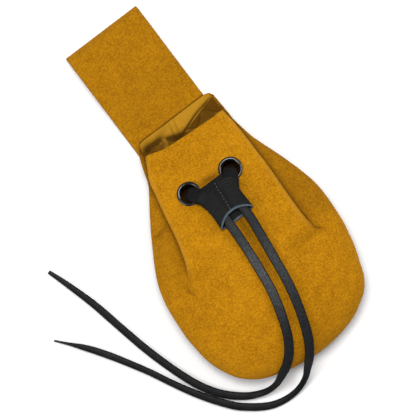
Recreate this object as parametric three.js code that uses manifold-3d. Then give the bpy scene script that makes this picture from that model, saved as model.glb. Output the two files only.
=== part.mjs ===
// A medieval belt pouch of suede, drawn shut and lying on its back, in millimetres.
// +Y points up the belt loop, -Y to the round bottom of the bag, +Z up from the surface that it lies on.

import * as THREE from "three";
import { mergeVertices } from "three/addons/utils/BufferGeometryUtils.js";
import Module from "manifold-3d";

// Overall sizes
const BAG_WIDTH = 128.5;
const BAG_LENGTH = 179;
const BAG_THICKNESS = 34;
const LOOP_LENGTH = 74;

// Leather and gaps
const LEATHER = 1.7;
const LAYER_GAP = 0.5;
const PIECE_GAP = 0.3;
const CRUMB_SIZE = 0.03;
const SEAM_ALLOWANCE = 3.5;
const SEAM_ROUND = 1.2;

// Pleats, measured at the mouth
const LEFT_PLEAT = 17.7;
const RIGHT_PLEAT = 26.3;
const LEAST_PLEAT = 1;

// Belt loop
const LOOP_WIDTH = 57;
const LOOP_CENTRE_X = 11.5;
const LOOP_LEATHER = 1.8;
const LOOP_TAIL = 42;
const LOOP_OPENING = 6.2;
const LOOP_SKIVE = 0.3;
const LOOP_SKIVE_RAMP = 6;

// Eyelets
const EYELET_HOLE = 11.5;
const EYELET_OUTER = 16;
const EYELET_WALL = 0.6;
const EYELET_FLANGE = 0.9;
const EYELET_GRIP_GAP = 0.4;
const EYELET_ROUND = 0.4;
const EYELET_SIDES = 18;
const PRESSED_REACH = 13;
const PRESSED_FADE = 8;
const EYELETS = {
  left: { across: -6.2, up: 6.8 },
  right: { across: 24.8, up: 3.5 },
};

// Slider
const SLIDER_WIDTH = 25;
const SLIDER_LENGTH = 31;
const SLIDER_HEIGHT = 7.4;
const SLIDER_CENTRE_X = 9.6;
const SLIDER_BOTTOM_Y = -25;
const SLIDER_ARCH = 4;
const ARM_WIDTH = 8.8;
const ARM_HEIGHT = 6;

// Lace
const LACE_WIDTH = 6.3;
const LACE_THICKNESS = 2.8;
const LACE_SPACING = 13.4;
const LACE_CLEARANCE = 0.4;

// Places that follow from the sizes
const MOUTH_Y = BAG_LENGTH - (BAG_LENGTH + LOOP_LENGTH) / 2;
const FOLD_Y = MOUTH_Y + LOOP_LENGTH;
const HALF_WIDTH = BAG_WIDTH / 2;
const FOLD_RADIUS = (LEATHER + LAYER_GAP) / 2;
const LOOP_STACK = 2 * (LOOP_LEATHER + PIECE_GAP);
const CROWN_HEIGHT = BAG_THICKNESS - LEATHER / 2;
const BELLY = 0.6547;
const BOWL_DEPTH = (1 - BELLY) * BAG_LENGTH;

const SUEDE = { color: 0xb87d16, roughness: 0.95, metalness: 0 };
const BLACK_LEATHER = { color: 0x1c1d1f, roughness: 0.6, metalness: 0 };
const BLACK_METAL = { color: 0x0d0d0f, roughness: 0.25, metalness: 0.9 };

// Outline of the bag from its mouth to the belly. along is a share of BAG_LENGTH, left and right of HALF_WIDTH.
const OUTLINE = [
  { along: 0, left: 0.215, right: 0.69 },
  { along: 0.02, left: 0.235, right: 0.706 },
  { along: 0.045, left: 0.28, right: 0.71 },
  { along: 0.103, left: 0.338, right: 0.7175 },
  { along: 0.132, left: 0.363, right: 0.719 },
  { along: 0.161, left: 0.409, right: 0.7315 },
  { along: 0.219, left: 0.523, right: 0.761 },
  { along: 0.277, left: 0.632, right: 0.8125 },
  { along: 0.335, left: 0.7315, right: 0.87 },
  { along: 0.393, left: 0.8265, right: 0.921 },
  { along: 0.451, left: 0.906, right: 0.965 },
  { along: 0.5095, left: 0.956, right: 0.9945 },
  { along: 0.5676, left: 0.982, right: 0.999 },
  { along: BELLY, left: 1, right: 0.985 },
];

// Outline round the bottom. turn is in degrees from the left side, reach is a share of the plain half ellipse.
const BOWL = [
  { turn: 0, reach: 1 },
  { turn: 10, reach: 1.008 },
  { turn: 20, reach: 1.036 },
  { turn: 30, reach: 1.06 },
  { turn: 41, reach: 1.082 },
  { turn: 52, reach: 1.072 },
  { turn: 64, reach: 1.032 },
  { turn: 78, reach: 1.004 },
  { turn: 92, reach: 1 },
  { turn: 105, reach: 1.012 },
  { turn: 117, reach: 1.035 },
  { turn: 126, reach: 1.044 },
  { turn: 134, reach: 1.052 },
  { turn: 142, reach: 1.034 },
  { turn: 150, reach: 0.998 },
  { turn: 160, reach: 0.979 },
  { turn: 170, reach: 0.972 },
  { turn: 180, reach: 0.985 },
];

// The two creases that edge the flap: along as above, left and right as shares of HALF_WIDTH.
const CREASES = [
  { along: 0.052, left: -0.213, right: 0.663 },
  { along: 0.0966, left: -0.277, right: 0.676 },
  { along: 0.132, left: -0.33, right: 0.689 },
  { along: 0.202, left: -0.375, right: 0.697 },
  { along: 0.26, left: -0.411, right: 0.697 },
  { along: 0.351, left: -0.461, right: 0.697 },
  { along: 0.433, left: -0.5245, right: 0.687 },
  { along: 0.497, left: -0.599, right: 0.68 },
  { along: 0.56, left: -0.68, right: 0.677 },
  { along: 0.6145, left: -0.73, right: 0.6895 },
  { along: BELLY, left: -0.76, right: 0.73 },
];

// Pleats: depth as a share of the pleat at the mouth, fold as a share of a full fold.
const LEFT_FOLD = [
  { along: 0, depth: 1, fold: 1 },
  { along: 0.1, depth: 0.82, fold: 1 },
  { along: 0.2, depth: 0.46, fold: 1 },
  { along: 0.26, depth: 0.37, fold: 1 },
  { along: 0.35, depth: 0.25, fold: 1 },
  { along: 0.42, depth: 0.1, fold: 0.97 },
  { along: 0.455, depth: 0.02, fold: 0.8 },
  { along: 0.49, depth: 0, fold: 0.42 },
  { along: 0.525, depth: 0, fold: 0.12 },
  { along: 0.56, depth: 0, fold: 0 },
  { along: 1, depth: 0, fold: 0 },
];
const RIGHT_FOLD = [
  { along: 0, depth: 1, fold: 1 },
  { along: 0.1, depth: 0.78, fold: 1 },
  { along: 0.2, depth: 0.36, fold: 1 },
  { along: 0.26, depth: 0.28, fold: 1 },
  { along: 0.4, depth: 0.2, fold: 1 },
  { along: 0.5, depth: 0.12, fold: 1 },
  { along: 0.56, depth: 0.03, fold: 0.9 },
  { along: 0.6, depth: 0, fold: 0.55 },
  { along: 0.635, depth: 0, fold: 0.15 },
  { along: BELLY, depth: 0, fold: 0 },
  { along: 1, depth: 0, fold: 0 },
];

// Heights: crown and seam as shares of CROWN_HEIGHT, lift of the flap over its pleats, spine as a share of HALF_WIDTH.
const HEIGHTS = [
  { along: 0, crown: 0.415, seam: 0.3, lift: 1, spine: 0.16 },
  { along: 0.08, crown: 0.43, seam: 0.3, lift: 1, spine: 0.158 },
  { along: 0.16, crown: 0.52, seam: 0.31, lift: 1, spine: 0.152 },
  { along: 0.25, crown: 0.645, seam: 0.32, lift: 1, spine: 0.145 },
  { along: 0.35, crown: 0.742, seam: 0.33, lift: 1, spine: 0.135 },
  { along: 0.45, crown: 0.825, seam: 0.335, lift: 0.85, spine: 0.1 },
  { along: 0.52, crown: 0.895, seam: 0.335, lift: 0.58, spine: 0.06 },
  { along: 0.6, crown: 0.972, seam: 0.33, lift: 0.18, spine: 0.015 },
  { along: BELLY, crown: 1, seam: 0.325, lift: 0, spine: 0 },
  { along: 0.71, crown: 0.972, seam: 0.32, lift: 0, spine: 0.015 },
];
const BOTTOM_SEAM = 0.29;

// Where the layers end at the mouth, across the front from its spine to the seam, as shares of BAG_LENGTH.
const FRONT_RIM = [
  { across: 0, left: 0.0765, right: 0.0765 },
  { across: 0.5, left: 0.07, right: 0.082 },
  { across: 1, left: 0.052, right: 0.0845 },
  { across: 1.8, left: 0.04, right: 0.047 },
  { across: 2.6, left: 0.036, right: 0.06 },
  { across: 3, left: 0.072, right: 0.07 },
  { across: 4, left: 0.02, right: 0.02 },
];

// Soft dents in the front: place as shares of BAG_LENGTH and HALF_WIDTH, sizes of their own in millimetres.
const DENTS = [
  { along: 0.325, across: -0.62, deep: 1.8, wide: 15, tall: 4.5 },
  { along: 0.53, across: -0.74, deep: 1.4, wide: 7, tall: 8 },
  { along: 0.66, across: 0.79, deep: 1.2, wide: 7, tall: 6 },
  { along: 0.47, across: 0.8, deep: 0.9, wide: 5, tall: 22 },
];

const DOME_POWER = 2.3;
const BACK_POWER = 2.2;
const FLAT_SHARE = 0.5;
const STRAIGHT_ROW = 0.21;
const ROWS = [0, 0.33, 0.66, 1];
const LOWER_ROWS = [0.255, 0.3, 0.345, 0.39, 0.43, 0.465, 0.5, 0.535, 0.575, 0.615, BELLY];
const BOWL_STEPS = 14;

const mix = (low, high, share) => low + (high - low) * share;
const smooth = (share) => {
  const held = Math.min(1, Math.max(0, share));
  return held * held * (3 - 2 * held);
};

// Reads a column of a table along its key, on a smooth curve through the rows.
function read(rows, key, column, at) {
  const last = rows.length - 1;
  const place = Math.min(Math.max(at, rows[0][key]), rows[last][key]);
  let row = 0;
  while (row < last - 1 && rows[row + 1][key] < place) row += 1;
  const slope = (index) => {
    const before = rows[Math.max(0, index - 1)];
    const after = rows[Math.min(last, index + 1)];
    return (after[column] - before[column]) / (after[key] - before[key]);
  };
  const low = rows[row];
  const high = rows[row + 1];
  const span = high[key] - low[key];
  const t = (place - low[key]) / span;
  const value =
    (2 * t ** 3 - 3 * t ** 2 + 1) * low[column] +
    (t ** 3 - 2 * t ** 2 + t) * span * slope(row) +
    (3 * t ** 2 - 2 * t ** 3) * high[column] +
    (t ** 3 - t ** 2) * span * slope(row + 1);
  return value;
}

// A ray runs from the spine of the bag out to its side seam. side is -1 on the left and 1 on the right.
function sideRay(side, along) {
  const name = side < 0 ? "left" : "right";
  const fold = side < 0 ? LEFT_FOLD : RIGHT_FOLD;
  const pleat = side < 0 ? LEFT_PLEAT : RIGHT_PLEAT;
  const spine = read(HEIGHTS, "along", "spine", along) * HALF_WIDTH;
  const crease = read(CREASES, "along", name, along) * HALF_WIDTH;
  const seam = side * read(OUTLINE, "along", name, along) * HALF_WIDTH;
  return {
    start: new THREE.Vector2(spine, MOUTH_Y - along * BAG_LENGTH),
    heading: new THREE.Vector2(side, 0),
    reach: Math.abs(seam - spine) - LEATHER / 2,
    crease: Math.abs(crease - spine),
    depth: LEAST_PLEAT + pleat * Math.max(0, read(fold, "along", "depth", along)),
    fold: Math.PI * Math.min(1, Math.max(0.001, read(fold, "along", "fold", along))),
    lift: read(HEIGHTS, "along", "lift", along),
    crown: read(HEIGHTS, "along", "crown", along) * CROWN_HEIGHT,
    seam: read(HEIGHTS, "along", "seam", along) * CROWN_HEIGHT,
    along,
  };
}

// Rays of the round bottom fan out from the belly. turn is in degrees from the left side.
function bowlRay(turn) {
  const angle = Math.PI + THREE.MathUtils.degToRad(turn);
  const reach = read(BOWL, "turn", "reach", turn);
  const centre = new THREE.Vector2(0, MOUTH_Y - BELLY * BAG_LENGTH);
  const edge = new THREE.Vector2(Math.cos(angle) * HALF_WIDTH, Math.sin(angle) * BOWL_DEPTH).multiplyScalar(reach);
  const left = sideRay(-1, BELLY);
  const right = sideRay(1, BELLY);
  const round = smooth(turn / 180);
  const creaseShare = mix(left.crease / left.reach, right.crease / right.reach, round);
  const down = Math.sin(Math.PI * (turn / 180));
  return {
    start: centre,
    heading: edge.clone().normalize(),
    reach: edge.length() - LEATHER / 2,
    crease: creaseShare * (edge.length() - LEATHER / 2),
    depth: LEAST_PLEAT,
    fold: 0.001 * Math.PI,
    lift: 0,
    crown: left.crown,
    seam: mix(mix(left.seam, right.seam, round), BOTTOM_SEAM * CROWN_HEIGHT, down),
    along: BELLY,
  };
}

// The dome of the bag over a ray, without its pleats.
function domeHeight(ray, distance) {
  const base = ray.seam + PIECE_GAP / 2 + LEATHER / 2 + SEAM_ROUND;
  const share = Math.min(1, Math.abs(distance) / ray.reach);
  return base + (ray.crown - base) * (1 - share ** DOME_POWER) ** (1 / DOME_POWER);
}

// The Z-pleat seen along the bag: where its folds begin and how far each one drops.
function pleatOf(ray) {
  const radius = (Math.PI * FOLD_RADIUS) / ray.fold;
  const drop = 2 * radius * (1 - Math.cos(ray.fold)) + ray.depth * Math.sin(ray.fold);
  const start = ray.crease - radius * Math.sin(Math.min(ray.fold, Math.PI / 2));
  return { radius, drop, start };
}

// Columns across one side of a panel, from the spine to the seam allowance. Each stretch has a part's name, its
// number of steps, and where it starts and ends on the rim's table.
const FLAP_STEPS = 6;
const ARC_STEPS = 4;
const MIDDLE_STEPS = 3;
const SIDE_STEPS = 7;
const TURN_STEPS = 3;
const FRONT_STRETCHES = [
  ["flap", FLAP_STEPS, 0, 1],
  ["crease", ARC_STEPS, 1, 1],
  ["middle", MIDDLE_STEPS, 1, 3],
  ["inner", ARC_STEPS, 3, 3],
  ["side", SIDE_STEPS, 3, 4],
  ["turn", TURN_STEPS, 4, 4],
  ["allowance", 1, 4, 4],
];

function columnsOf(stretches) {
  const columns = [{ part: stretches[0][0], share: 0, across: stretches[0][2] }];
  for (const [part, count, from, to] of stretches) {
    for (let step = 1; step <= count; step += 1) {
      columns.push({ part, share: step / count, across: mix(from, to, step / count) });
    }
  }
  return columns;
}

// Distance out along the ray and height of one column of the front.
function frontProfile(ray, column) {
  const { radius, drop, start } = pleatOf(ray);
  const fold = ray.fold;
  const spineLift = 4 * FOLD_RADIUS * ray.lift;
  if (column.part === "flap") {
    const distance = column.share * start;
    const lift = mix(spineLift, drop, smooth(column.share ** 1.5));
    return { distance, height: domeHeight(ray, distance) + lift };
  }
  const creaseOut = radius * Math.sin(fold);
  const creaseDrop = radius * (1 - Math.cos(fold));
  const innerStart = start + creaseOut + ray.depth * Math.cos(fold);
  if (column.part === "crease") {
    const angle = column.share * fold;
    const distance = start + radius * Math.sin(angle);
    return { distance, height: domeHeight(ray, distance) + drop - radius * (1 - Math.cos(angle)) };
  }
  if (column.part === "middle") {
    const run = column.share * ray.depth;
    const distance = start + creaseOut + run * Math.cos(fold);
    return { distance, height: domeHeight(ray, distance) + drop - creaseDrop - run * Math.sin(fold) };
  }
  if (column.part === "inner") {
    const angle = fold - column.share * fold;
    const distance = innerStart + creaseOut - radius * Math.sin(angle);
    return { distance, height: domeHeight(ray, distance) + radius * (1 - Math.cos(angle)) };
  }
  const sideStart = Math.max(0, (innerStart + creaseOut) / ray.reach);
  const seamTop = ray.seam + PIECE_GAP / 2 + LEATHER / 2 + SEAM_ROUND;
  if (column.part === "side") {
    const first = Math.asin(sideStart ** (DOME_POWER / 2));
    const angle = mix(first, Math.PI / 2, column.share);
    const distance = ray.reach * Math.sin(angle) ** (2 / DOME_POWER);
    return { distance, height: domeHeight(ray, distance) };
  }
  if (column.part === "turn") {
    const angle = (column.share * Math.PI) / 2;
    const distance = ray.reach - SEAM_ROUND * (1 - Math.cos(angle));
    return { distance, height: seamTop - SEAM_ROUND * Math.sin(angle) };
  }
  return { distance: ray.reach - SEAM_ROUND - SEAM_ALLOWANCE, height: seamTop - SEAM_ROUND };
}

// How far the soft dents lower the front at a place seen from above.
function dentDepth(x, y) {
  let depth = 0;
  for (const dent of DENTS) {
    const right = (x - dent.across * HALF_WIDTH) / dent.wide;
    const up = (y - (MOUTH_Y - dent.along * BAG_LENGTH)) / dent.tall;
    depth += dent.deep * Math.exp(-(right ** 2) - up ** 2);
  }
  return depth;
}

function placed(ray, { distance, height }) {
  const x = ray.start.x + ray.heading.x * distance;
  const y = ray.start.y + ray.heading.y * distance;
  return new THREE.Vector3(x, y, height);
}

// Stations run down the left side, round the bottom and up the right side.
function stations(lowerRows) {
  const down = [];
  for (const share of ROWS) down.push({ rim: 1 - share, along: STRAIGHT_ROW });
  for (const along of lowerRows) down.push({ rim: 0, along });
  const list = down.map((row) => ({ ...row, side: -1 }));
  for (let step = 1; step < BOWL_STEPS; step += 1) list.push({ turn: (180 * step) / BOWL_STEPS });
  for (const row of down.toReversed()) list.push({ ...row, side: 1 });
  return list;
}

function rayAt(station, rim, across) {
  if (station.turn !== undefined) return bowlRay(station.turn);
  const name = station.side < 0 ? "left" : "right";
  const top = read(rim, "across", name, across);
  return sideRay(station.side, mix(station.along, top, station.rim));
}

function frontPoint(station, column) {
  const ray = rayAt(station, FRONT_RIM, column.across);
  const point = placed(ray, frontProfile(ray, column));
  if (column.part !== "turn" && column.part !== "allowance") point.z -= dentDepth(point.x, point.y);
  if (column.part === "flap") {
    for (const seat of EYELET_SEATS) point.z = pressedFlat(point, seat);
  }
  return point;
}

// The leather is pressed flat round each eyelet.
function pressedFlat(point, { centre, axis }) {
  const right = point.x - centre.x;
  const up = point.y - centre.y;
  const plane = centre.z - (axis.x * right + axis.y * up) / axis.z;
  return mix(plane, point.z, smooth((Math.hypot(right, up) - PRESSED_REACH) / PRESSED_FADE));
}

// Height of the middle of the leather on the front's outer layer, at a place between the creases.
function flapHeight(x, y) {
  const along = (MOUTH_Y - y) / BAG_LENGTH;
  const spine = sideRay(1, along).start.x;
  const ray = sideRay(x < spine ? -1 : 1, along);
  const share = Math.abs(x - spine) / pleatOf(ray).start;
  return frontProfile(ray, { part: "flap", share }).height;
}

// Leather of one thickness about a grid of points, as one closed geometry.
function leatherSheet(grid, thickness) {
  const ids = new Map();
  const points = [];
  const idOf = (point) => {
    const key = point.toArray().map((value) => Math.round(value * 1000)).join();
    if (!ids.has(key)) {
      ids.set(key, points.length);
      points.push(point);
    }
    return ids.get(key);
  };
  const rows = grid.map((row) => row.map(idOf));
  const faces = [];
  const addFace = (a, b, c) => {
    if (a !== b && b !== c && a !== c) faces.push([a, b, c]);
  };
  for (let row = 0; row + 1 < rows.length; row += 1) {
    for (let column = 0; column + 1 < rows[row].length; column += 1) {
      const [a, b] = [rows[row][column], rows[row + 1][column]];
      const [d, c] = [rows[row][column + 1], rows[row + 1][column + 1]];
      addFace(a, d, b);
      addFace(b, d, c);
    }
  }
  const normals = points.map(() => new THREE.Vector3());
  for (const face of faces) {
    for (let corner = 0; corner < 3; corner += 1) {
      const here = points[face[corner]];
      const next = points[face[(corner + 1) % 3]].clone().sub(here);
      const other = points[face[(corner + 2) % 3]].clone().sub(here);
      const normal = next.clone().cross(other).normalize();
      normals[face[corner]].addScaledVector(normal, next.angleTo(other));
    }
  }
  const positions = [];
  for (const side of [0.5, -0.5]) {
    points.forEach((point, id) => {
      positions.push(...point.clone().addScaledVector(normals[id].normalize(), side * thickness).toArray());
    });
  }
  const below = points.length;
  const index = [];
  const edges = new Set(faces.flatMap(([a, b, c]) => [`${a},${b}`, `${b},${c}`, `${c},${a}`]));
  for (const [a, b, c] of faces) {
    index.push(a, b, c, below + a, below + c, below + b);
    for (const [from, to] of [[a, b], [b, c], [c, a]]) {
      if (!edges.has(`${to},${from}`)) index.push(to, from, below + from, to, below + from, below + to);
    }
  }
  const geometry = new THREE.BufferGeometry();
  geometry.setAttribute("position", new THREE.Float32BufferAttribute(positions, 3));
  geometry.setIndex(index);
  return geometry;
}

const wasm = await Module();
wasm.setup();

// A closed geometry as a solid that can be cut and joined.
function solid(geometry) {
  const bare = geometry.clone();
  bare.deleteAttribute("normal");
  bare.deleteAttribute("uv");
  const merged = mergeVertices(bare, 1e-4);
  const vertProperties = new Float32Array(merged.attributes.position.array);
  const triVerts = new Uint32Array(merged.index.array);
  return new wasm.Manifold(new wasm.Mesh({ numProp: 3, vertProperties, triVerts }));
}

function fromSolid(body) {
  const mesh = body.simplify(CRUMB_SIZE).getMesh();
  const geometry = new THREE.BufferGeometry();
  geometry.setAttribute("position", new THREE.Float32BufferAttribute(mesh.vertProperties, 3));
  geometry.setIndex(Array.from(mesh.triVerts));
  return geometry;
}

function named(name, geometry, finish) {
  const mesh = new THREE.Mesh(geometry, new THREE.MeshStandardMaterial(finish));
  mesh.name = name;
  return mesh;
}

// Where an eyelet sits on the flap, and which way its hole points.
function eyeletSeat({ across, up }) {
  const step = 4;
  const height = flapHeight(across, up);
  const slopeX = (flapHeight(across + step, up) - flapHeight(across - step, up)) / (2 * step);
  const slopeY = (flapHeight(across, up + step) - flapHeight(across, up - step)) / (2 * step);
  return {
    centre: new THREE.Vector3(across, up, height),
    axis: new THREE.Vector3(-slopeX, -slopeY, 1).normalize(),
  };
}

const EYELET_SEATS = Object.values(EYELETS).map(eyeletSeat);

function frontPanel() {
  const columns = columnsOf(FRONT_STRETCHES);
  const grid = stations(LOWER_ROWS).map((station) => columns.map((column) => frontPoint(station, column)));
  let body = solid(leatherSheet(grid, LEATHER));
  for (const { centre, axis } of EYELET_SEATS) {
    const radius = EYELET_HOLE / 2 + EYELET_WALL + PIECE_GAP;
    const punch = new THREE.CylinderGeometry(radius, radius, 3 * LEATHER, 24);
    punch.applyQuaternion(new THREE.Quaternion().setFromUnitVectors(new THREE.Vector3(0, 1, 0), axis));
    punch.translate(centre.x, centre.y, centre.z);
    body = body.subtract(solid(punch));
  }
  return named("front_panel", fromSolid(body), SUEDE);
}

// The back panel: flat where it rests, then round up to the seam. It lies on the loop's ends near the mouth.
const BACK_RIM = [
  { across: 0, left: 0, right: 0 },
  { across: 0.8, left: 0, right: 0 },
  { across: 0.93, left: 0.006, right: 0.006 },
  { across: 1, left: 0.02, right: 0.02 },
];
const BACK_LOWER_ROWS = [0.255, 0.29, 0.325, 0.37, 0.44, 0.51, 0.58, BELLY];
const BACK_FLAT_STEPS = 3;
const BACK_RISE_STEPS = 5;
const BACK_TURN_STEPS = 2;
const BACK_RAMP_START = 16;
const BACK_RAMP = 12;

// The back slopes up onto the loop's ends just below them.
function restHeight(y) {
  const tailEnd = MOUTH_Y - LOOP_TAIL;
  return LOOP_STACK * smooth((y - (tailEnd - BACK_RAMP_START)) / BACK_RAMP) + LEATHER / 2;
}

function backPoint(station, column) {
  const ray = rayAt(station, BACK_RIM, column.across);
  const floor = restHeight(ray.start.y);
  const flat = FLAT_SHARE * ray.reach;
  const seamBottom = ray.seam - PIECE_GAP / 2 - LEATHER / 2;
  if (column.part === "flat") return placed(ray, { distance: column.share * flat, height: floor });
  if (column.part === "rise") {
    const angle = (column.share * Math.PI) / 2;
    const distance = flat + (ray.reach - flat) * Math.sin(angle) ** (2 / BACK_POWER);
    const climb = 1 - Math.cos(angle) ** (2 / BACK_POWER);
    return placed(ray, { distance, height: mix(floor, seamBottom - SEAM_ROUND, climb) });
  }
  if (column.part === "turn") {
    const angle = (column.share * Math.PI) / 2;
    const distance = ray.reach - SEAM_ROUND * (1 - Math.cos(angle));
    return placed(ray, { distance, height: seamBottom - SEAM_ROUND * (1 - Math.sin(angle)) });
  }
  return placed(ray, { distance: ray.reach - SEAM_ROUND - SEAM_ALLOWANCE, height: seamBottom });
}

function backPanel() {
  const columns = columnsOf([
    ["flat", BACK_FLAT_STEPS, 0, FLAT_SHARE],
    ["rise", BACK_RISE_STEPS, FLAT_SHARE, 1],
    ["turn", BACK_TURN_STEPS, 1, 1],
    ["allowance", 1, 1, 1],
  ]);
  const grid = stations(BACK_LOWER_ROWS).map((station) => columns.map((column) => backPoint(station, column)));
  return named("back_panel", leatherSheet(grid, LEATHER), SUEDE);
}

// The belt loop in side view: along is a share of the way from the tail's end to the fold,
// rise a share of the loop's opening under the front layer.
const LOOP_SIDE = [
  { along: 0, rise: 0 },
  { along: 0.37, rise: 0 },
  { along: 0.46, rise: 0.12 },
  { along: 0.58, rise: 0.55 },
  { along: 0.7, rise: 0.93 },
  { along: 0.8, rise: 1 },
  { along: 0.9, rise: 0.86 },
  { along: 0.96, rise: 0.6 },
];
const BELT_SEAT_START = 0.55;

// The pressed fold in side view: places on the Y axis count back from the fold's end, heights from the surface.
const FOLD_HEEL = 1.2;
const FOLD_BULGE = 0.2;
const FOLD_CREST = 1.6;
const FOLD_SHOULDER = 4.2;
const FOLD_SHOULDER_RUN = 3;
const FOLD_STEP = 0.3;
const HOLLOW_RUN = 2;
const HOLLOW_DROP = 0.6;
const HOLLOW_HEIGHT = 3.2;
const SEAT_END_GAP = 1.2;
const LOOP_SIDE_STEPS = 26;

function beltLoop() {
  const tail = MOUTH_Y - LOOP_TAIL;
  const reach = FOLD_Y - tail;
  const wall = LOOP_LEATHER;
  const under = [];
  const over = [];
  for (let step = 0; step <= LOOP_SIDE_STEPS; step += 1) {
    const share = (LOOP_SIDE.at(-1).along * step) / LOOP_SIDE_STEPS;
    const lift = PIECE_GAP + LOOP_OPENING * Math.max(0, read(LOOP_SIDE, "along", "rise", share));
    under.push(new THREE.Vector2(tail + reach * share, wall + lift));
    over.push(new THREE.Vector2(tail + reach * share, 2 * wall + lift));
  }
  const top = over.at(-1);
  const inside = under.at(-1);
  const innerFold = FOLD_Y - wall;
  const seatStart = tail + reach * BELT_SEAT_START;
  const outline = new THREE.Shape();
  outline.moveTo(tail, 0);
  outline.lineTo(FOLD_Y - FOLD_HEEL, 0);
  outline.quadraticCurveTo(FOLD_Y + FOLD_BULGE, FOLD_BULGE / 2, FOLD_Y, FOLD_CREST);
  outline.bezierCurveTo(FOLD_Y - FOLD_STEP, FOLD_SHOULDER, top.x + FOLD_SHOULDER_RUN, top.y, top.x, top.y);
  for (const point of over.toReversed().slice(1)) outline.lineTo(point.x, point.y);
  for (const point of under) outline.lineTo(point.x, point.y);
  const hollow = new THREE.Vector2(inside.x + HOLLOW_RUN, inside.y - HOLLOW_DROP);
  outline.bezierCurveTo(hollow.x, hollow.y, innerFold, HOLLOW_HEIGHT, innerFold, wall + FOLD_STEP);
  // The belt's seat is the flat stretch inside the loop. From there the rear end is thinned, where both ends
  // lie together behind the bag.
  outline.lineTo(innerFold - SEAT_END_GAP, wall);
  outline.lineTo(seatStart, wall);
  outline.lineTo(seatStart - LOOP_SKIVE_RAMP, wall - LOOP_SKIVE);
  outline.lineTo(tail, wall - LOOP_SKIVE);
  outline.closePath();
  const geometry = new THREE.ExtrudeGeometry(outline, { depth: LOOP_WIDTH, bevelEnabled: false, curveSegments: 4 });
  const turn = new THREE.Matrix4().makeBasis(
    new THREE.Vector3(0, 1, 0),
    new THREE.Vector3(0, 0, 1),
    new THREE.Vector3(1, 0, 0),
  );
  geometry.applyMatrix4(turn);
  geometry.translate(LOOP_CENTRE_X - LOOP_WIDTH / 2, 0, 0);
  return named("belt_loop", geometry, SUEDE);
}

// An eyelet turned about its hole: a barrel between a domed flange above the leather and a flat one below.
function eyelet(name, place) {
  const inner = EYELET_HOLE / 2;
  const outer = EYELET_OUTER / 2;
  const barrel = inner + EYELET_WALL;
  const grip = LEATHER / 2 + EYELET_GRIP_GAP;
  const edge = EYELET_ROUND;
  const profile = [
    [inner, -grip - EYELET_WALL],
    [outer - edge, -grip - EYELET_WALL],
    [outer - edge, -grip],
    [barrel, -grip],
    [barrel, grip],
    [outer, grip],
    [outer, grip + 0.4 * EYELET_FLANGE],
    [outer - edge, grip + EYELET_FLANGE],
    [barrel + edge, grip + 1.15 * EYELET_FLANGE],
    [inner + edge / 2, grip + EYELET_FLANGE],
    [inner, grip + 0.3 * EYELET_FLANGE],
    [inner, -grip - EYELET_WALL],
  ].map(([radius, height]) => new THREE.Vector2(radius, height));
  const mesh = named(name, new THREE.LatheGeometry(profile, EYELET_SIDES), BLACK_METAL);
  const { centre, axis } = eyeletSeat(place);
  mesh.position.copy(centre);
  mesh.quaternion.setFromUnitVectors(new THREE.Vector3(0, 1, 0), axis);
  return mesh;
}

// A smooth route that keeps a flat lace from twisting: its width starts along one side and turns only with the route.
class LaceRoute extends THREE.CatmullRomCurve3 {
  constructor(points, startSide, level) {
    super(points, false, "centripetal");
    this.startSide = startSide;
    this.level = level;
  }

  computeFrenetFrames(segments) {
    const tangents = [];
    const normals = [];
    const binormals = [];
    let side = this.startSide.clone();
    for (let step = 0; step <= segments; step += 1) {
      const tangent = this.getTangentAt(step / segments);
      if (this.level) side = tangent.clone().cross(new THREE.Vector3(0, 0, 1));
      side.addScaledVector(tangent, -side.dot(tangent)).normalize();
      tangents.push(tangent);
      normals.push(side.clone());
      binormals.push(tangent.clone().cross(side));
    }
    return { tangents, normals, binormals };
  }
}

// A flat section with round edges.
function flatSection(width, thickness, cornerSteps) {
  const shape = new THREE.Shape();
  const corner = thickness / 2;
  const half = width / 2 - corner;
  for (const side of [1, -1]) {
    for (let step = 0; step <= cornerSteps; step += 1) {
      const angle = mix(-Math.PI / 2, Math.PI / 2, step / cornerSteps);
      const x = side * (half + corner * Math.cos(angle));
      const y = side * corner * Math.sin(angle);
      if (side > 0 && step === 0) shape.moveTo(x, y);
      else shape.lineTo(x, y);
    }
  }
  shape.closePath();
  return shape;
}

function sweep(section, route, steps) {
  return new THREE.ExtrudeGeometry(section, { extrudePath: route, steps, bevelEnabled: false });
}

// The held stretch of lace: up one channel of the slider, in through an eyelet, across inside and back.
const SLIDER_TOP_Y = SLIDER_BOTTOM_Y + SLIDER_LENGTH;
const SEAT_HEIGHT = LEATHER / 2 + PIECE_GAP + SLIDER_HEIGHT / 2 + 0.6;
const CROSSING_HEIGHT = 17.2;
const HELD_STEPS = 40;
const EDGE_STEPS = 4;
const ACROSS = new THREE.Vector3(1, 0, 0);

function heldStretch(side, seat) {
  const channelX = SLIDER_CENTRE_X + (side * LACE_SPACING) / 2;
  const on = (x, y, rise) => new THREE.Vector3(x, y, flapHeight(x, y) + SEAT_HEIGHT + rise);
  const { centre, axis } = seat;
  const along = (height) => centre.clone().addScaledVector(axis, height);
  return [
    on(channelX, SLIDER_BOTTOM_Y + 3, 0),
    on(channelX, SLIDER_BOTTOM_Y + 12, 0),
    on(channelX + side * 0.4, SLIDER_TOP_Y - 8, 0.1),
    on(mix(channelX, centre.x, 0.35), mix(SLIDER_TOP_Y - 3, centre.y, 0.1), 0.7),
    on(mix(channelX, centre.x, 0.72), mix(SLIDER_TOP_Y - 1, centre.y, 0.5), 0.2),
    along(2.4),
    along(-2),
    along(-6).add(new THREE.Vector3(-side * 0.8, 0, 0)),
  ];
}

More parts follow.
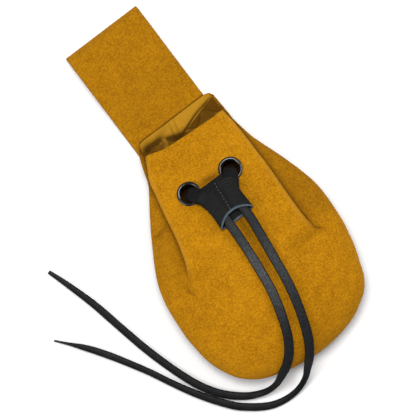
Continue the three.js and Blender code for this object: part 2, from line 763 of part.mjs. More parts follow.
function heldPoints() {
  const leftSeat = eyeletSeat(EYELETS.left);
  const rightSeat = eyeletSeat(EYELETS.right);
  const left = heldStretch(-1, leftSeat);
  const right = heldStretch(1, rightSeat);
  const crossing = [0.28, 0.72].map((share) => {
    const point = leftSeat.centre.clone().lerp(rightSeat.centre, share);
    point.z = CROSSING_HEIGHT;
    return point;
  });
  return [...left, ...crossing, ...right.reverse()];
}

function heldRoute() {
  return new LaceRoute(heldPoints(), ACROSS, false);
}

function drawstring() {
  const section = flatSection(LACE_WIDTH, LACE_THICKNESS, EDGE_STEPS);
  return named("drawstring", sweep(section, heldRoute(), HELD_STEPS), BLACK_LEATHER);
}

// The slider: a folded sleeve over both laces, with an arm along each lace into its eyelet.
const SLEEVE_STEPS = 6;
const SLEEVE_SIDES = 22;
const SLEEVE_WAIST = 0.05;
const SLEEVE_FLARE = 0.06;
const SLEEVE_THINNING = 0.16;
const SLEEVE_SIDE_POWER = 0.62;
const SLEEVE_FACE_POWER = 0.55;
const FRONT_GROOVE = { deep: 1.1, wide: 2.2 };
const REAR_GROOVE = { deep: 0.3, wide: 3 };

// Width, height and place of the sleeve's cross-section at a share of the way from its lower to its upper end.
function sleeveRing(share) {
  const y = mix(SLIDER_BOTTOM_Y, SLIDER_TOP_Y - 1, share);
  const waist = SLEEVE_WAIST * Math.sin(Math.PI * Math.min(1, share * 1.3));
  const flare = SLEEVE_FLARE * smooth((share - 0.75) / 0.25);
  const thinning = SLEEVE_THINNING * smooth((share - 0.7) / 0.3);
  return {
    y,
    z: flapHeight(SLIDER_CENTRE_X, y) + SEAT_HEIGHT,
    width: SLIDER_WIDTH * (1 - waist + flare),
    tall: SLIDER_HEIGHT * (1 - thinning),
  };
}

function sliderSleeve() {
  const steps = SLEEVE_STEPS;
  const sides = SLEEVE_SIDES;
  const centreX = SLIDER_CENTRE_X;
  const rings = [];
  for (let step = 0; step <= steps; step += 1) rings.push(sleeveRing(step / steps));
  const positions = [];
  const index = [];
  rings.forEach((ring) => {
    for (let corner = 0; corner < sides; corner += 1) {
      const angle = (corner / sides) * Math.PI * 2;
      const x = (Math.sign(Math.cos(angle)) * Math.abs(Math.cos(angle)) ** SLEEVE_SIDE_POWER * ring.width) / 2;
      const { deep, wide } = Math.sin(angle) > 0 ? FRONT_GROOVE : REAR_GROOVE;
      const groove = deep * Math.exp(-((x / wide) ** 2));
      const lift = Math.abs(Math.sin(angle)) ** SLEEVE_FACE_POWER * (ring.tall / 2) - groove;
      positions.push(centreX + x, ring.y, ring.z + Math.sign(Math.sin(angle)) * lift);
    }
  });
  const first = positions.length / 3;
  positions.push(centreX, rings[0].y, rings[0].z, centreX, rings.at(-1).y, rings.at(-1).z);
  for (let ring = 0; ring < steps; ring += 1) {
    for (let corner = 0; corner < sides; corner += 1) {
      const a = ring * sides + corner;
      const b = ring * sides + ((corner + 1) % sides);
      index.push(a, a + sides, b, b, a + sides, b + sides);
    }
  }
  for (let corner = 0; corner < sides; corner += 1) {
    const next = (corner + 1) % sides;
    index.push(first, corner, next);
    index.push(first + 1, steps * sides + next, steps * sides + corner);
  }
  const geometry = new THREE.BufferGeometry();
  geometry.setAttribute("position", new THREE.Float32BufferAttribute(positions, 3));
  geometry.setIndex(index);
  return geometry;
}

const ARM_STEPS = 8;
const ARCH_SHARE = 0.72;
const ARCH_SIDES = 28;

function slider() {
  let body = solid(sliderSleeve());
  const held = heldPoints();
  const sideOf = (points, from, to) => points.slice(from, to).map((point) => point.clone());
  const stretches = [sideOf(held, 2, 7), sideOf(held.toReversed(), 2, 7)];
  for (const points of stretches) {
    const route = new LaceRoute(points, ACROSS, false);
    body = body.add(solid(sweep(flatSection(ARM_WIDTH, ARM_HEIGHT, EDGE_STEPS), route, ARM_STEPS)));
  }
  const bore = flatSection(LACE_WIDTH + 2 * LACE_CLEARANCE, LACE_THICKNESS + 2 * LACE_CLEARANCE, EDGE_STEPS);
  body = body.subtract(solid(sweep(bore, heldRoute(), HELD_STEPS)));
  // Each channel is open at the slider's lower end.
  for (const end of [held[0], held.at(-1)]) {
    const mouth = [end.clone().add(new THREE.Vector3(0, 0.5, 0)), end.clone().add(new THREE.Vector3(0, -8, 0))];
    body = body.subtract(solid(sweep(bore, new LaceRoute(mouth, ACROSS, false), 1)));
  }
  const reach = SLIDER_WIDTH * ARCH_SHARE;
  const arch = new THREE.CylinderGeometry(reach, reach, 2 * SLIDER_HEIGHT, ARCH_SIDES);
  arch.rotateX(Math.PI / 2);
  const archHeight = flapHeight(SLIDER_CENTRE_X, SLIDER_BOTTOM_Y) + SEAT_HEIGHT + SLIDER_HEIGHT;
  arch.translate(SLIDER_CENTRE_X, SLIDER_BOTTOM_Y - reach + SLIDER_ARCH, archHeight);
  body = body.subtract(solid(arch));
  const sleeve = body.decompose().reduce((best, piece) => (piece.volume() > best.volume() ? piece : best));
  return named("slider", fromSolid(sleeve), BLACK_LEATHER);
}

// The free tails of the lace: chosen points from the slider's mouth over the bag and along the surface.
const LEFT_TAIL = [
  [2.9, -22.3, 35.9], [2.8, -30, 36], [2, -44.6, 35.7], [0.6, -59.2, 35.9], [-1.3, -73.8, 35.8],
  [-4.8, -88, 34.9], [-9.7, -101.9, 32.6], [-13, -108.5, 30.9], [-17.2, -114.4, 28.5], [-22.6, -119.4, 25],
  [-29, -123, 19.7], [-36, -125, 12.8], [-43.3, -124.8, 6.8], [-50.3, -122.5, 3.1], [-56.8, -119.2, 1.8],
  [-68.2, -110, 1.6], [-75.9, -97.5, 1.6], [-82, -84.2, 1.6], [-86.6, -70.3, 1.6], [-90.1, -56, 1.6],
  [-94.2, -34.4, 1.6], [-98.8, -12.9, 1.6], [-104.8, 8.3, 1.6], [-109.9, 22.1, 1.6],
];
const RIGHT_TAIL = [
  [16.3, -22.3, 35.8], [16.1, -30, 36], [14.4, -45, 35.9], [12.5, -59.8, 35.9], [10.5, -74.7, 35.7],
  [7.4, -89.3, 34.7], [3, -103.7, 32.5], [0.3, -110.7, 30.6], [-3, -117.4, 27.8], [-7.2, -123.5, 23.6],
  [-12.5, -128.9, 16.6], [-18.6, -133.1, 9.9], [-25.5, -136.2, 4.8], [-32.8, -137.6, 2.3], [-40.3, -137.2, 1.6],
  [-47.5, -135.3, 1.6], [-54.1, -131.8, 1.6], [-60.2, -127.4, 1.6], [-66, -122.8, 1.6], [-75.5, -111.1, 1.6],
  [-84.1, -98.6, 1.6], [-91, -85.2, 1.6], [-96.4, -71.2, 1.6], [-103.4, -57.9, 1.6], [-111.3, -45.2, 1.6],
  [-120.3, -33.3, 1.6], [-134.6, -15.9, 1.6],
];

const TAIL_STEPS = 42;

function tail(name, points) {
  const route = new LaceRoute(points.map((point) => new THREE.Vector3(...point)), ACROSS, true);
  return named(name, sweep(flatSection(LACE_WIDTH, LACE_THICKNESS, EDGE_STEPS), route, TAIL_STEPS), BLACK_LEATHER);
}

const pouch = new THREE.Group();
pouch.add(beltLoop(), backPanel(), frontPanel());
pouch.add(eyelet("eyelet_left", EYELETS.left), eyelet("eyelet_right", EYELETS.right));
pouch.add(slider(), drawstring());
pouch.add(tail("lace_left", LEFT_TAIL), tail("lace_right", RIGHT_TAIL));

export default pouch;
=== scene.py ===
"""A medieval belt pouch of ochre suede with black laces, lying on its back on a pale floor.

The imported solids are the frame. This script lays the finished leather, metal and laces over them.
Lengths are in metres. +Y points up the belt loop, -Y to the round bottom, +Z up from the floor.
"""

import logging
import math
from dataclasses import dataclass, field
from enum import Enum

import bpy
import numpy as np
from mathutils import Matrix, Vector

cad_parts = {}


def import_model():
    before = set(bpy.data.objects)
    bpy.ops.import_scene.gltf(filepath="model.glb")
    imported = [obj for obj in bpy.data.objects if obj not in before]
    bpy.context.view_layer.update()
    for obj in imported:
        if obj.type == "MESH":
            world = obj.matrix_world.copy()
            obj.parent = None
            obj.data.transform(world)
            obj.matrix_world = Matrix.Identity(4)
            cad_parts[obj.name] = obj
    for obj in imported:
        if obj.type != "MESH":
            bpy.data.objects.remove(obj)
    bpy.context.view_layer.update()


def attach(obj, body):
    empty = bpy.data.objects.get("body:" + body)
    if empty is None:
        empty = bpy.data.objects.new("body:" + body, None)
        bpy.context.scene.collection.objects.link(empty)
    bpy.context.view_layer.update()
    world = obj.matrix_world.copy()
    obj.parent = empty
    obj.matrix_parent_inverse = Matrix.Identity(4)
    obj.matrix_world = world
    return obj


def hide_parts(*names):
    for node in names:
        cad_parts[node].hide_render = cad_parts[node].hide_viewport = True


log = logging.getLogger("pouch")

Array = np.ndarray
BODY = "root"


class Slot(Enum):
    """The record's material slots."""

    SUEDE = "suede_outer"
    METAL = "eyelet_metal"
    SLIDER = "slider_leather"
    LACE = "lace_leather"


class Part(Enum):
    """The stretches of leather that a ray crosses on its way from the spine to the seam."""

    FLAP = "flap"
    CREASE = "crease"
    MIDDLE = "middle"
    INNER = "inner"
    SIDE = "side"
    FLAT = "flat"
    RISE = "rise"
    TURN = "turn"
    ALLOWANCE = "allowance"


def mix(low: float | Array, high: float | Array, share: float | Array) -> float | Array:
    """Goes from low to high as share goes from 0 to 1."""
    return low + (high - low) * share


def smooth(share: float | Array) -> Array:
    """Eases from 0 to 1, and holds outside that range."""
    held = np.clip(share, 0, 1)
    return held * held * (3 - 2 * held)


class Table:
    """Rows of named columns, read on a smooth curve along the first column."""

    def __init__(self, columns: str, *rows: tuple[float, ...]) -> None:
        """Keeps the rows.

        Args:
            columns: The names of the columns, the key first.
            rows: One tuple for each row, with the key rising.
        """
        self.names = columns.split()
        self.values = np.array(rows, float)

    def read(self, column: str, at: float | Array) -> Array:
        """Reads a column at a key or at many.

        Args:
            column: The name of the column.
            at: Where to read, held inside the table's range.

        Returns:
            The values on a smooth curve through the rows.
        """
        keys = self.values[:, 0]
        data = self.values[:, self.names.index(column)]
        last = len(keys) - 1
        place = np.clip(at, keys[0], keys[last])
        row = np.minimum(np.searchsorted(keys[1:], place, side="left"), last - 1)
        before = np.maximum(np.arange(last + 1) - 1, 0)
        after = np.minimum(np.arange(last + 1) + 1, last)
        slope = (data[after] - data[before]) / (keys[after] - keys[before])
        span = keys[row + 1] - keys[row]
        t = (place - keys[row]) / span
        return (
            (2 * t**3 - 3 * t**2 + 1) * data[row]
            + (t**3 - 2 * t**2 + t) * span * slope[row]
            + (3 * t**2 - 2 * t**3) * data[row + 1]
            + (t**3 - t**2) * span * slope[row + 1]
        )


@dataclass(frozen=True)
class PouchSizes:
    """The sizes that the pieces share."""

    bag_width: float = 0.1285
    bag_length: float = 0.179
    bag_thickness: float = 0.034
    loop_length: float = 0.074
    leather: float = 0.0017
    layer_gap: float = 0.0005
    piece_gap: float = 0.0003
    seam_allowance: float = 0.0035
    seam_round: float = 0.0012
    left_pleat: float = 0.0177
    right_pleat: float = 0.0263
    least_pleat: float = 0.001
    loop_leather: float = 0.0018
    loop_tail: float = 0.042
    eyelet_hole: float = 0.00575
    eyelet_wall: float = 0.0006
    belly: float = 0.6547

    @property
    def mouth_y(self) -> float:
        """Where the back panel ends."""
        return self.bag_length - (self.bag_length + self.loop_length) / 2

    @property
    def fold_y(self) -> float:
        """Where the belt loop is folded."""
        return self.mouth_y + self.loop_length

    @property
    def half_width(self) -> float:
        """Half of the bag's width."""
        return self.bag_width / 2

    @property
    def fold_radius(self) -> float:
        """Radius of a pressed fold, at the middle of the leather."""
        return (self.leather + self.layer_gap) / 2

    @property
    def loop_stack(self) -> float:
        """Height of the loop's two ends under the bag."""
        return 2 * (self.loop_leather + self.piece_gap)

    @property
    def loop_end(self) -> float:
        """Where the loop's two ends stop behind the bag."""
        return self.mouth_y - self.loop_tail

    @property
    def eyelet_barrel(self) -> float:
        """Outer radius of an eyelet's barrel."""
        return self.eyelet_hole + self.eyelet_wall

    @property
    def crown_height(self) -> float:
        """Height of the middle of the leather at the bag's highest point."""
        return self.bag_thickness - self.leather / 2

    @property
    def bowl_depth(self) -> float:
        """From the belly down to the bottom."""
        return (1 - self.belly) * self.bag_length


SIZES = PouchSizes()

# Outline from the mouth to the belly. along is a share of the bag's length, and left and right are shares of
# its half width.
OUTLINE = Table(
    "along left right",
    (0, 0.215, 0.69),
    (0.02, 0.235, 0.706),
    (0.045, 0.28, 0.71),
    (0.103, 0.338, 0.7175),
    (0.132, 0.363, 0.719),
    (0.161, 0.409, 0.7315),
    (0.219, 0.523, 0.761),
    (0.277, 0.632, 0.8125),
    (0.335, 0.7315, 0.87),
    (0.393, 0.8265, 0.921),
    (0.451, 0.906, 0.965),
    (0.5095, 0.956, 0.9945),
    (0.5676, 0.982, 0.999),
    (SIZES.belly, 1, 0.985),
)

# Outline round the bottom. turn is in degrees from the left side, reach a share of the plain half ellipse.
BOWL = Table(
    "turn reach",
    (0, 1),
    (10, 1.008),
    (20, 1.036),
    (30, 1.06),
    (41, 1.082),
    (52, 1.072),
    (64, 1.032),
    (78, 1.004),
    (92, 1),
    (105, 1.012),
    (117, 1.035),
    (126, 1.044),
    (134, 1.052),
    (142, 1.034),
    (150, 0.998),
    (160, 0.979),
    (170, 0.972),
    (180, 0.985),
)

# The two creases that edge the flap, as shares of the half width.
CREASES = Table(
    "along left right",
    (0.052, -0.213, 0.663),
    (0.0966, -0.277, 0.676),
    (0.132, -0.33, 0.689),
    (0.202, -0.375, 0.697),
    (0.26, -0.411, 0.697),
    (0.351, -0.461, 0.697),
    (0.433, -0.5245, 0.687),
    (0.497, -0.599, 0.68),
    (0.56, -0.68, 0.677),
    (0.6145, -0.73, 0.6895),
    (SIZES.belly, -0.76, 0.73),
)

# Pleats: depth is a share of the pleat at the mouth, fold a share of a full fold.
LEFT_FOLD = Table(
    "along depth fold",
    (0, 1, 1),
    (0.1, 0.82, 1),
    (0.2, 0.46, 1),
    (0.26, 0.37, 1),
    (0.35, 0.25, 1),
    (0.42, 0.1, 0.97),
    (0.455, 0.02, 0.8),
    (0.49, 0, 0.42),
    (0.525, 0, 0.12),
    (0.56, 0, 0),
    (1, 0, 0),
)
RIGHT_FOLD = Table(
    "along depth fold",
    (0, 1, 1),
    (0.1, 0.78, 1),
    (0.2, 0.36, 1),
    (0.26, 0.28, 1),
    (0.4, 0.2, 1),
    (0.5, 0.12, 1),
    (0.56, 0.03, 0.9),
    (0.6, 0, 0.55),
    (0.635, 0, 0.15),
    (SIZES.belly, 0, 0),
    (1, 0, 0),
)

# Heights as shares of the crown's, the flap's lift over its pleats, and the spine as a share of the half
# width.
HEIGHTS = Table(
    "along crown seam lift spine",
    (0, 0.415, 0.3, 1, 0.16),
    (0.08, 0.43, 0.3, 1, 0.158),
    (0.16, 0.52, 0.31, 1, 0.152),
    (0.25, 0.645, 0.32, 1, 0.145),
    (0.35, 0.742, 0.33, 1, 0.135),
    (0.45, 0.825, 0.335, 0.85, 0.1),
    (0.52, 0.895, 0.335, 0.58, 0.06),
    (0.6, 0.972, 0.33, 0.18, 0.015),
    (SIZES.belly, 1, 0.325, 0, 0),
    (0.71, 0.972, 0.32, 0, 0.015),
)
BOTTOM_SEAM = 0.29

# Where the layers end at the mouth, as shares of the bag's length, across each panel from the spine to the
# seam.
FRONT_RIM = Table(
    "across left right",
    (0, 0.0765, 0.0765),
    (0.5, 0.07, 0.082),
    (1, 0.052, 0.0845),
    (1.35, 0.046, 0.066),
    (1.65, 0.042, 0.043),
    (2, 0.046, 0.06),
    (2.4, 0.05, 0.0775),
    (2.7, 0.036, 0.078),
    (3, 0.072, 0.065),
    (3.1, 0.069, 0.0575),
    (3.25, 0.06, 0.0475),
    (3.5, 0.045, 0.034),
    (4, 0.02, 0.02),
)
BACK_RIM = Table("across left right", (0, 0, 0), (0.8, 0, 0), (0.93, 0.006, 0.006), (1, 0.02, 0.02))

# The belt loop from the side: a share of the way up to the fold, and a share of the opening.
LOOP_SIDE = Table(
    "along rise",
    (0, 0),
    (0.37, 0),
    (0.46, 0.12),
    (0.58, 0.55),
    (0.7, 0.93),
    (0.8, 1),
    (0.9, 0.86),
    (0.96, 0.6),
)

DOME_POWER = 2.3
BACK_POWER = 2.2
FLAT_SHARE = 0.5
STRAIGHT_ROW = 0.21

# The lace's free tails: chosen points from the slider's mouth, over the bag and along the floor.
LEFT_TAIL = (
    (0.0029, -0.0223, 0.0359),
    (0.0028, -0.03, 0.036),
    (0.002, -0.0446, 0.0357),
    (0.0006, -0.0592, 0.0359),
    (-0.0013, -0.0738, 0.0358),
    (-0.0048, -0.088, 0.0349),
    (-0.0097, -0.1019, 0.0326),
    (-0.013, -0.1085, 0.0309),
    (-0.0172, -0.1144, 0.0285),
    (-0.0226, -0.1194, 0.025),
    (-0.029, -0.123, 0.0197),
    (-0.0359, -0.126, 0.0128),
    (-0.0435, -0.1261, 0.0068),
    (-0.0508, -0.1237, 0.0031),
    (-0.0574, -0.12, 0.0018),
    (-0.0681, -0.1099, 0.0016),
    (-0.0761, -0.0976, 0.0016),
    (-0.0818, -0.0841, 0.0016),
    (-0.0863, -0.0702, 0.0016),
    (-0.0902, -0.056, 0.0016),
    (-0.0949, -0.0345, 0.0016),
    (-0.0994, -0.013, 0.0016),
    (-0.1055, 0.0081, 0.0016),
    (-0.1102, 0.022, 0.0016),
)
RIGHT_TAIL = (
    (0.0163, -0.0223, 0.0358),
    (0.0161, -0.03, 0.036),
    (0.0144, -0.045, 0.0359),
    (0.0125, -0.0598, 0.0359),
    (0.0105, -0.0747, 0.0357),
    (0.0074, -0.0893, 0.0347),
    (0.003, -0.1037, 0.0325),
    (0.0003, -0.1107, 0.0306),
    (-0.003, -0.1174, 0.0278),
    (-0.0072, -0.1235, 0.0236),
    (-0.0125, -0.1289, 0.0166),
    (-0.0181, -0.134, 0.0099),
    (-0.0252, -0.1372, 0.0048),
    (-0.0328, -0.1382, 0.0023),
    (-0.0403, -0.1374, 0.0016),
    (-0.0474, -0.1352, 0.0016),
    (-0.0539, -0.1315, 0.0016),
    (-0.0599, -0.127, 0.0016),
    (-0.0653, -0.1222, 0.0016),
    (-0.0746, -0.1104, 0.0016),
    (-0.0827, -0.0978, 0.0016),
    (-0.0899, -0.0847, 0.0016),
    (-0.0966, -0.0713, 0.0016),
    (-0.104, -0.0582, 0.0016),
    (-0.1117, -0.0455, 0.0016),
    (-0.1202, -0.0332, 0.0016),
    (-0.1346, -0.0159, 0.0016),
)

# The tails by how far each place is from the tip: the width seen from above as a share of the lace's, and how
# much painted sheen lightens its middle.
LEFT_WIDTHS = Table(
    "left width rubbed",
    (0, 0.42, 0),
    (0.014, 0.6, 0),
    (0.032, 0.75, 0),
    (0.05, 0.8, 0),
    (0.15, 0.82, 0),
    (0.162, 0.74, 0),
    (0.172, 0.66, 0),
    (0.18, 0.67, 0.05),
    (0.195, 0.95, 0.12),
    (0.225, 1, 0.25),
    (0.25, 1, 0.85),
    (0.27, 1, 1),
    (0.29, 1, 0.5),
    (0.31, 1, 0.15),
)
RIGHT_WIDTHS = Table(
    "left width rubbed",
    (0, 0.16, 0),
    (0.011, 0.36, 0),
    (0.0225, 0.68, 0),
    (0.037, 0.75, 0.08),
    (0.052, 0.71, 0),
    (0.08, 0.7, 0),
    (0.1, 0.78, 0),
    (0.12, 0.81, 0),
    (0.15, 0.79, 0),
    (0.164, 0.66, 0),
    (0.175, 0.63, 0),
    (0.184, 0.68, 0.05),
    (0.2, 0.96, 0.15),
    (0.24, 1, 0.3),
    (0.27, 1, 0.6),
    (0.3, 1, 0.2),
    (0.32, 1, 0.05),
)


class SoftNoise:
    """Smooth random values over space, the same on each run."""

    SIDE = 32

    def __init__(self, seed: int) -> None:
        """Fills the lattice.

        Args:
            seed: The seed of the random values.
        """
        self.lattice = np.random.default_rng(seed).uniform(-1, 1, (self.SIDE,) * 3)

    def at(self, points: Array, scale: float) -> Array:
        """Reads the noise.

        Args:
            points: Places, in metres, as (..., 3).
            scale: The distance between two random values, in metres.

        Returns:
            One value from -1 to 1 for each place.
        """
        where = points / scale + self.SIDE * 8
        cell = np.floor(where).astype(int)
        share = smooth(where - cell)
        total = np.zeros(points.shape[:-1])
        for corner in np.ndindex(2, 2, 2):
            weight = np.prod(np.where(corner, share, 1 - share), axis=-1)
            ids = (cell + corner) % self.SIDE
            total += weight * self.lattice[ids[..., 0], ids[..., 1], ids[..., 2]]
        return total


@dataclass
class Rays:
    """Lines from the bag's spine out to its seam, with what the leather does along each one."""

    start: Array
    heading: Array
    reach: Array
    crease: Array
    depth: Array
    fold: Array
    lift: Array
    crown: Array
    seam: Array

    @staticmethod
    def joined(groups: list["Rays"]) -> "Rays":
        """All rays of several groups, in order."""
        names = Rays.__dataclass_fields__
        return Rays(**{name: np.concatenate([getattr(group, name) for group in groups]) for name in names})


@dataclass(frozen=True)
class Column:
    """One line of points along the bag, at a share of a part of the leather."""

    part: Part
    share: float
    across: float


def columns_of(*stretches: tuple[Part, int, float, float]) -> tuple[Column, ...]:
    """Columns for stretches of leather that follow each other.

    Args:
        stretches: A part, its number of steps, and where it starts and ends on the rim's table.

    Returns:
        The columns, where only the first stretch has its own start.
    """
    found = []
    for number, (part, count, start, end) in enumerate(stretches):
        for step in range(0 if number == 0 else 1, count + 1):
            share = step / count
            found.append(Column(part, share, mix(start, end, share)))
    return tuple(found)


@dataclass(frozen=True)
class Stations:
    """Stations run down the left side, round the bottom and up the right side."""

    rim: Array
    along: Array
    turns: Array

    @staticmethod
    def spaced(mouth: int, side: int, bowl: int) -> "Stations":
        """Stations for a number of steps in each stretch.

        Args:
            mouth: Steps in the mouth.
            side: Steps down each side.
            bowl: Steps round the bottom.

        Returns:
            The stations.
        """
        share = np.linspace(0, 1, mouth + 1)
        lower = np.linspace(STRAIGHT_ROW, SIZES.belly, side + 1)[1:]
        rim = np.concatenate([1 - share, np.zeros(side)])
        along = np.concatenate([np.full(mouth + 1, STRAIGHT_ROW), lower])
        return Stations(rim, along, np.linspace(0, 180, bowl + 1)[1:-1])

    def rays(self, form: "BagForm", rim: Table, across: float) -> Rays:
        """The rays at every station, for one column.

        Args:
            form: The bag's form.
            rim: Where the rim lies on each side.
            across: The column's place.

        Returns:
            The rays.
        """
        left = mix(self.along, rim.read("left", across), self.rim)
        right = mix(self.along, rim.read("right", across), self.rim)[::-1]
        return Rays.joined([form.side_rays(-1, left), form.bowl_rays(self.turns), form.side_rays(1, right)])


@dataclass(frozen=True)
class Dent:
    """A soft hollow, or with a negative depth a swelling, seen from above."""

    x: float
    y: float
    deep: float
    wide: float
    tall: float
    turned: float = 0

    def depth(self, points: Array) -> Array:
        """How far the leather is lowered at each place.

        Args:
            points: The places.

        Returns:
            The depths.
        """
        angle = math.radians(self.turned)
        dx = points[..., 0] - self.x
        dy = points[..., 1] - self.y
        across = (dx * math.cos(angle) + dy * math.sin(angle)) / self.wide
        up = (dy * math.cos(angle) - dx * math.sin(angle)) / self.tall
        return self.deep * np.exp(-(across**2) - up**2)


@dataclass(frozen=True)
class EyeletSeat:
    """Where an eyelet sits on the flap, and which way its hole points."""

    centre: Array
    axis: Array

    def put(self, points: Array) -> Array:
        """Points about the upright axis, turned and moved onto the seat."""
        turn = Vector((0, 0, 1)).rotation_difference(Vector(self.axis)).to_matrix()
        return points @ np.array(turn).T + self.centre


@dataclass
class BagForm:
    """The shape of the bag: rays, pleats and domes. eyelets gives each eyelet's place seen from above."""

    sizes: PouchSizes
    eyelets: dict[str, tuple[float, float]]
    seats: dict[str, EyeletSeat] = field(init=False)
    pressed_reach: float = 0.013
    pressed_fade: float = 0.008
    slope_step: float = 0.004
    ramp_start: float = 0.016
    ramp_run: float = 0.012
    trimmed_share: float = 0.12
    trimmed_from: float = 0.03
    trimmed_run: float = 0.08
    least_fold: float = 0.001

    def __post_init__(self) -> None:
        """Works out the eyelets' seats."""
        self.seats = {name: self._seat(*place) for name, place in self.eyelets.items()}

    def side_rays(self, side: int, along: Array) -> Rays:
        """Rays across the bag.

        Args:
            side: -1 on the left and 1 on the right.
            along: How far down the bag each ray starts, as a share of its length.

        Returns:
            The rays.
        """
        s = self.sizes
        name = "left" if side < 0 else "right"
        fold = LEFT_FOLD if side < 0 else RIGHT_FOLD
        pleat = s.left_pleat if side < 0 else s.right_pleat
        spine = HEIGHTS.read("spine", along) * s.half_width
        crease = CREASES.read(name, along) * s.half_width
        seam = side * OUTLINE.read(name, along) * s.half_width
        start = np.stack([spine, s.mouth_y - along * s.bag_length], axis=-1)
        return Rays(
            start=start,
            heading=np.broadcast_to([float(side), 0.0], start.shape),
            reach=np.abs(seam - spine) - s.leather / 2,
            crease=np.abs(crease - spine),
            depth=s.least_pleat + pleat * np.maximum(0, fold.read("depth", along)),
            fold=math.pi * np.clip(fold.read("fold", along), self.least_fold, 1),
            lift=HEIGHTS.read("lift", along),
            crown=HEIGHTS.read("crown", along) * s.crown_height,
            seam=HEIGHTS.read("seam", along) * s.crown_height,
        )

    def bowl_rays(self, turn: Array) -> Rays:
        """Rays that fan out from the belly.

        Args:
            turn: Degrees from the left side.

        Returns:
            The rays.
        """
        s = self.sizes
        angle = math.pi + np.radians(turn)
        reach = BOWL.read("reach", turn)
        ellipse = np.stack([np.cos(angle) * s.half_width, np.sin(angle) * s.bowl_depth], axis=-1)
        edge = ellipse * reach[:, None]
        length = np.linalg.norm(edge, axis=-1)
        left = self.side_rays(-1, np.array([s.belly]))
        right = self.side_rays(1, np.array([s.belly]))
        eased = smooth(turn / 180)
        down = np.sin(np.pi * turn / 180)
        same = np.ones(len(turn))
        crease_share = mix(left.crease / left.reach, right.crease / right.reach, eased)
        return Rays(
            start=np.broadcast_to([0.0, s.mouth_y - s.belly * s.bag_length], edge.shape),
            heading=edge / length[:, None],
            reach=length - s.leather / 2,
            crease=crease_share * (length - s.leather / 2),
            depth=s.least_pleat * same,
            fold=self.least_fold * math.pi * same,
            lift=0 * same,
            crown=left.crown * same,
            seam=mix(mix(left.seam, right.seam, eased), BOTTOM_SEAM * s.crown_height, down),
        )

    def dome(self, rays: Rays, distance: Array) -> Array:
        """Height of the bag over its rays, without the pleats.

        Args:
            rays: The rays.
            distance: How far out along each ray.

        Returns:
            The heights.
        """
        s = self.sizes
        base = rays.seam + s.piece_gap / 2 + s.leather / 2 + s.seam_round
        share = np.clip(np.abs(distance) / rays.reach, 0, 1)
        return base + (rays.crown - base) * (1 - share**DOME_POWER) ** (1 / DOME_POWER)

    def pleat(self, rays: Rays) -> tuple[Array, Array, Array]:
        """The Z-pleat seen along the bag.

        Args:
            rays: The rays.

        Returns:
            Its folds' radius, how far it drops and where it starts.
        """
        radius = math.pi * self.sizes.fold_radius / rays.fold
        drop = 2 * radius * (1 - np.cos(rays.fold)) + rays.depth * np.sin(rays.fold)
        start = rays.crease - radius * np.sin(np.minimum(rays.fold, math.pi / 2))
        return radius, drop, start

    def front_profile(self, rays: Rays, part: Part, share: float | Array) -> tuple[Array, Array]:
        """The front along its rays.

        Args:
            rays: The rays.
            part: The stretch of leather.
            share: How far along that stretch.

        Returns:
            The distance out along each ray, and the height of the middle of the leather.
        """
        s = self.sizes
        radius, drop, start = self.pleat(rays)
        fold = rays.fold
        if part is Part.FLAP:
            distance = share * start
            lift = mix(4 * s.fold_radius * rays.lift, drop, smooth(share**1.5))
            return distance, self.dome(rays, distance) + lift
        out = radius * np.sin(fold)
        crease_drop = radius * (1 - np.cos(fold))
        inner_start = start + out + rays.depth * np.cos(fold)
        if part is Part.CREASE:
            angle = share * fold
            distance = start + radius * np.sin(angle)
            return distance, self.dome(rays, distance) + drop - radius * (1 - np.cos(angle))
        if part is Part.MIDDLE:
            run = share * rays.depth
            distance = start + out + run * np.cos(fold)
            return distance, self.dome(rays, distance) + drop - crease_drop - run * np.sin(fold)
        if part is Part.INNER:
            angle = fold - share * fold
            distance = inner_start + out - radius * np.sin(angle)
            return distance, self.dome(rays, distance) + radius * (1 - np.cos(angle))
        seam_top = rays.seam + s.piece_gap / 2 + s.leather / 2 + s.seam_round
        if part is Part.SIDE:
            side_start = np.clip((inner_start + out) / rays.reach, 0, 1)
            angle = mix(np.arcsin(side_start ** (DOME_POWER / 2)), math.pi / 2, share)
            distance = rays.reach * np.sin(angle) ** (2 / DOME_POWER)
            return distance, self.dome(rays, distance)
        if part is Part.TURN:
            angle = share * math.pi / 2
            distance = rays.reach - s.seam_round * (1 - math.cos(angle))
            return distance, seam_top - s.seam_round * math.sin(angle)
        return rays.reach - s.seam_round - self.allowance(rays) * share, seam_top - s.seam_round

    def back_profile(self, rays: Rays, part: Part, share: float) -> tuple[Array, Array]:
        """The back along its rays.

        Args:
            rays: The rays.
            part: The stretch of leather.
            share: How far along that stretch.

        Returns:
            The distance out along each ray, and the height.
        """
        s = self.sizes
        floor = self.rest_height(rays.start[:, 1])
        flat = FLAT_SHARE * rays.reach
        seam_bottom = rays.seam - s.piece_gap / 2 - s.leather / 2
        angle = share * math.pi / 2
        if part is Part.FLAT:
            return share * flat, floor
        if part is Part.RISE:
            distance = flat + (rays.reach - flat) * math.sin(angle) ** (2 / BACK_POWER)
            climb = 1 - max(0.0, math.cos(angle)) ** (2 / BACK_POWER)
            return distance, mix(floor, seam_bottom - s.seam_round, climb)
        if part is Part.TURN:
            distance = rays.reach - s.seam_round * (1 - math.cos(angle))
            return distance, seam_bottom - s.seam_round * (1 - math.sin(angle))
        return rays.reach - s.seam_round - self.allowance(rays) * share, seam_bottom

    def allowance(self, rays: Rays) -> Array:
        """Width of the turned seam allowance, which is trimmed towards the mouth.

        Args:
            rays: The rays.

        Returns:
            The widths.
        """
        along = (self.sizes.mouth_y - rays.start[:, 1]) / self.sizes.bag_length
        kept = mix(self.trimmed_share, 1, smooth((along - self.trimmed_from) / self.trimmed_run))
        return self.sizes.seam_allowance * kept

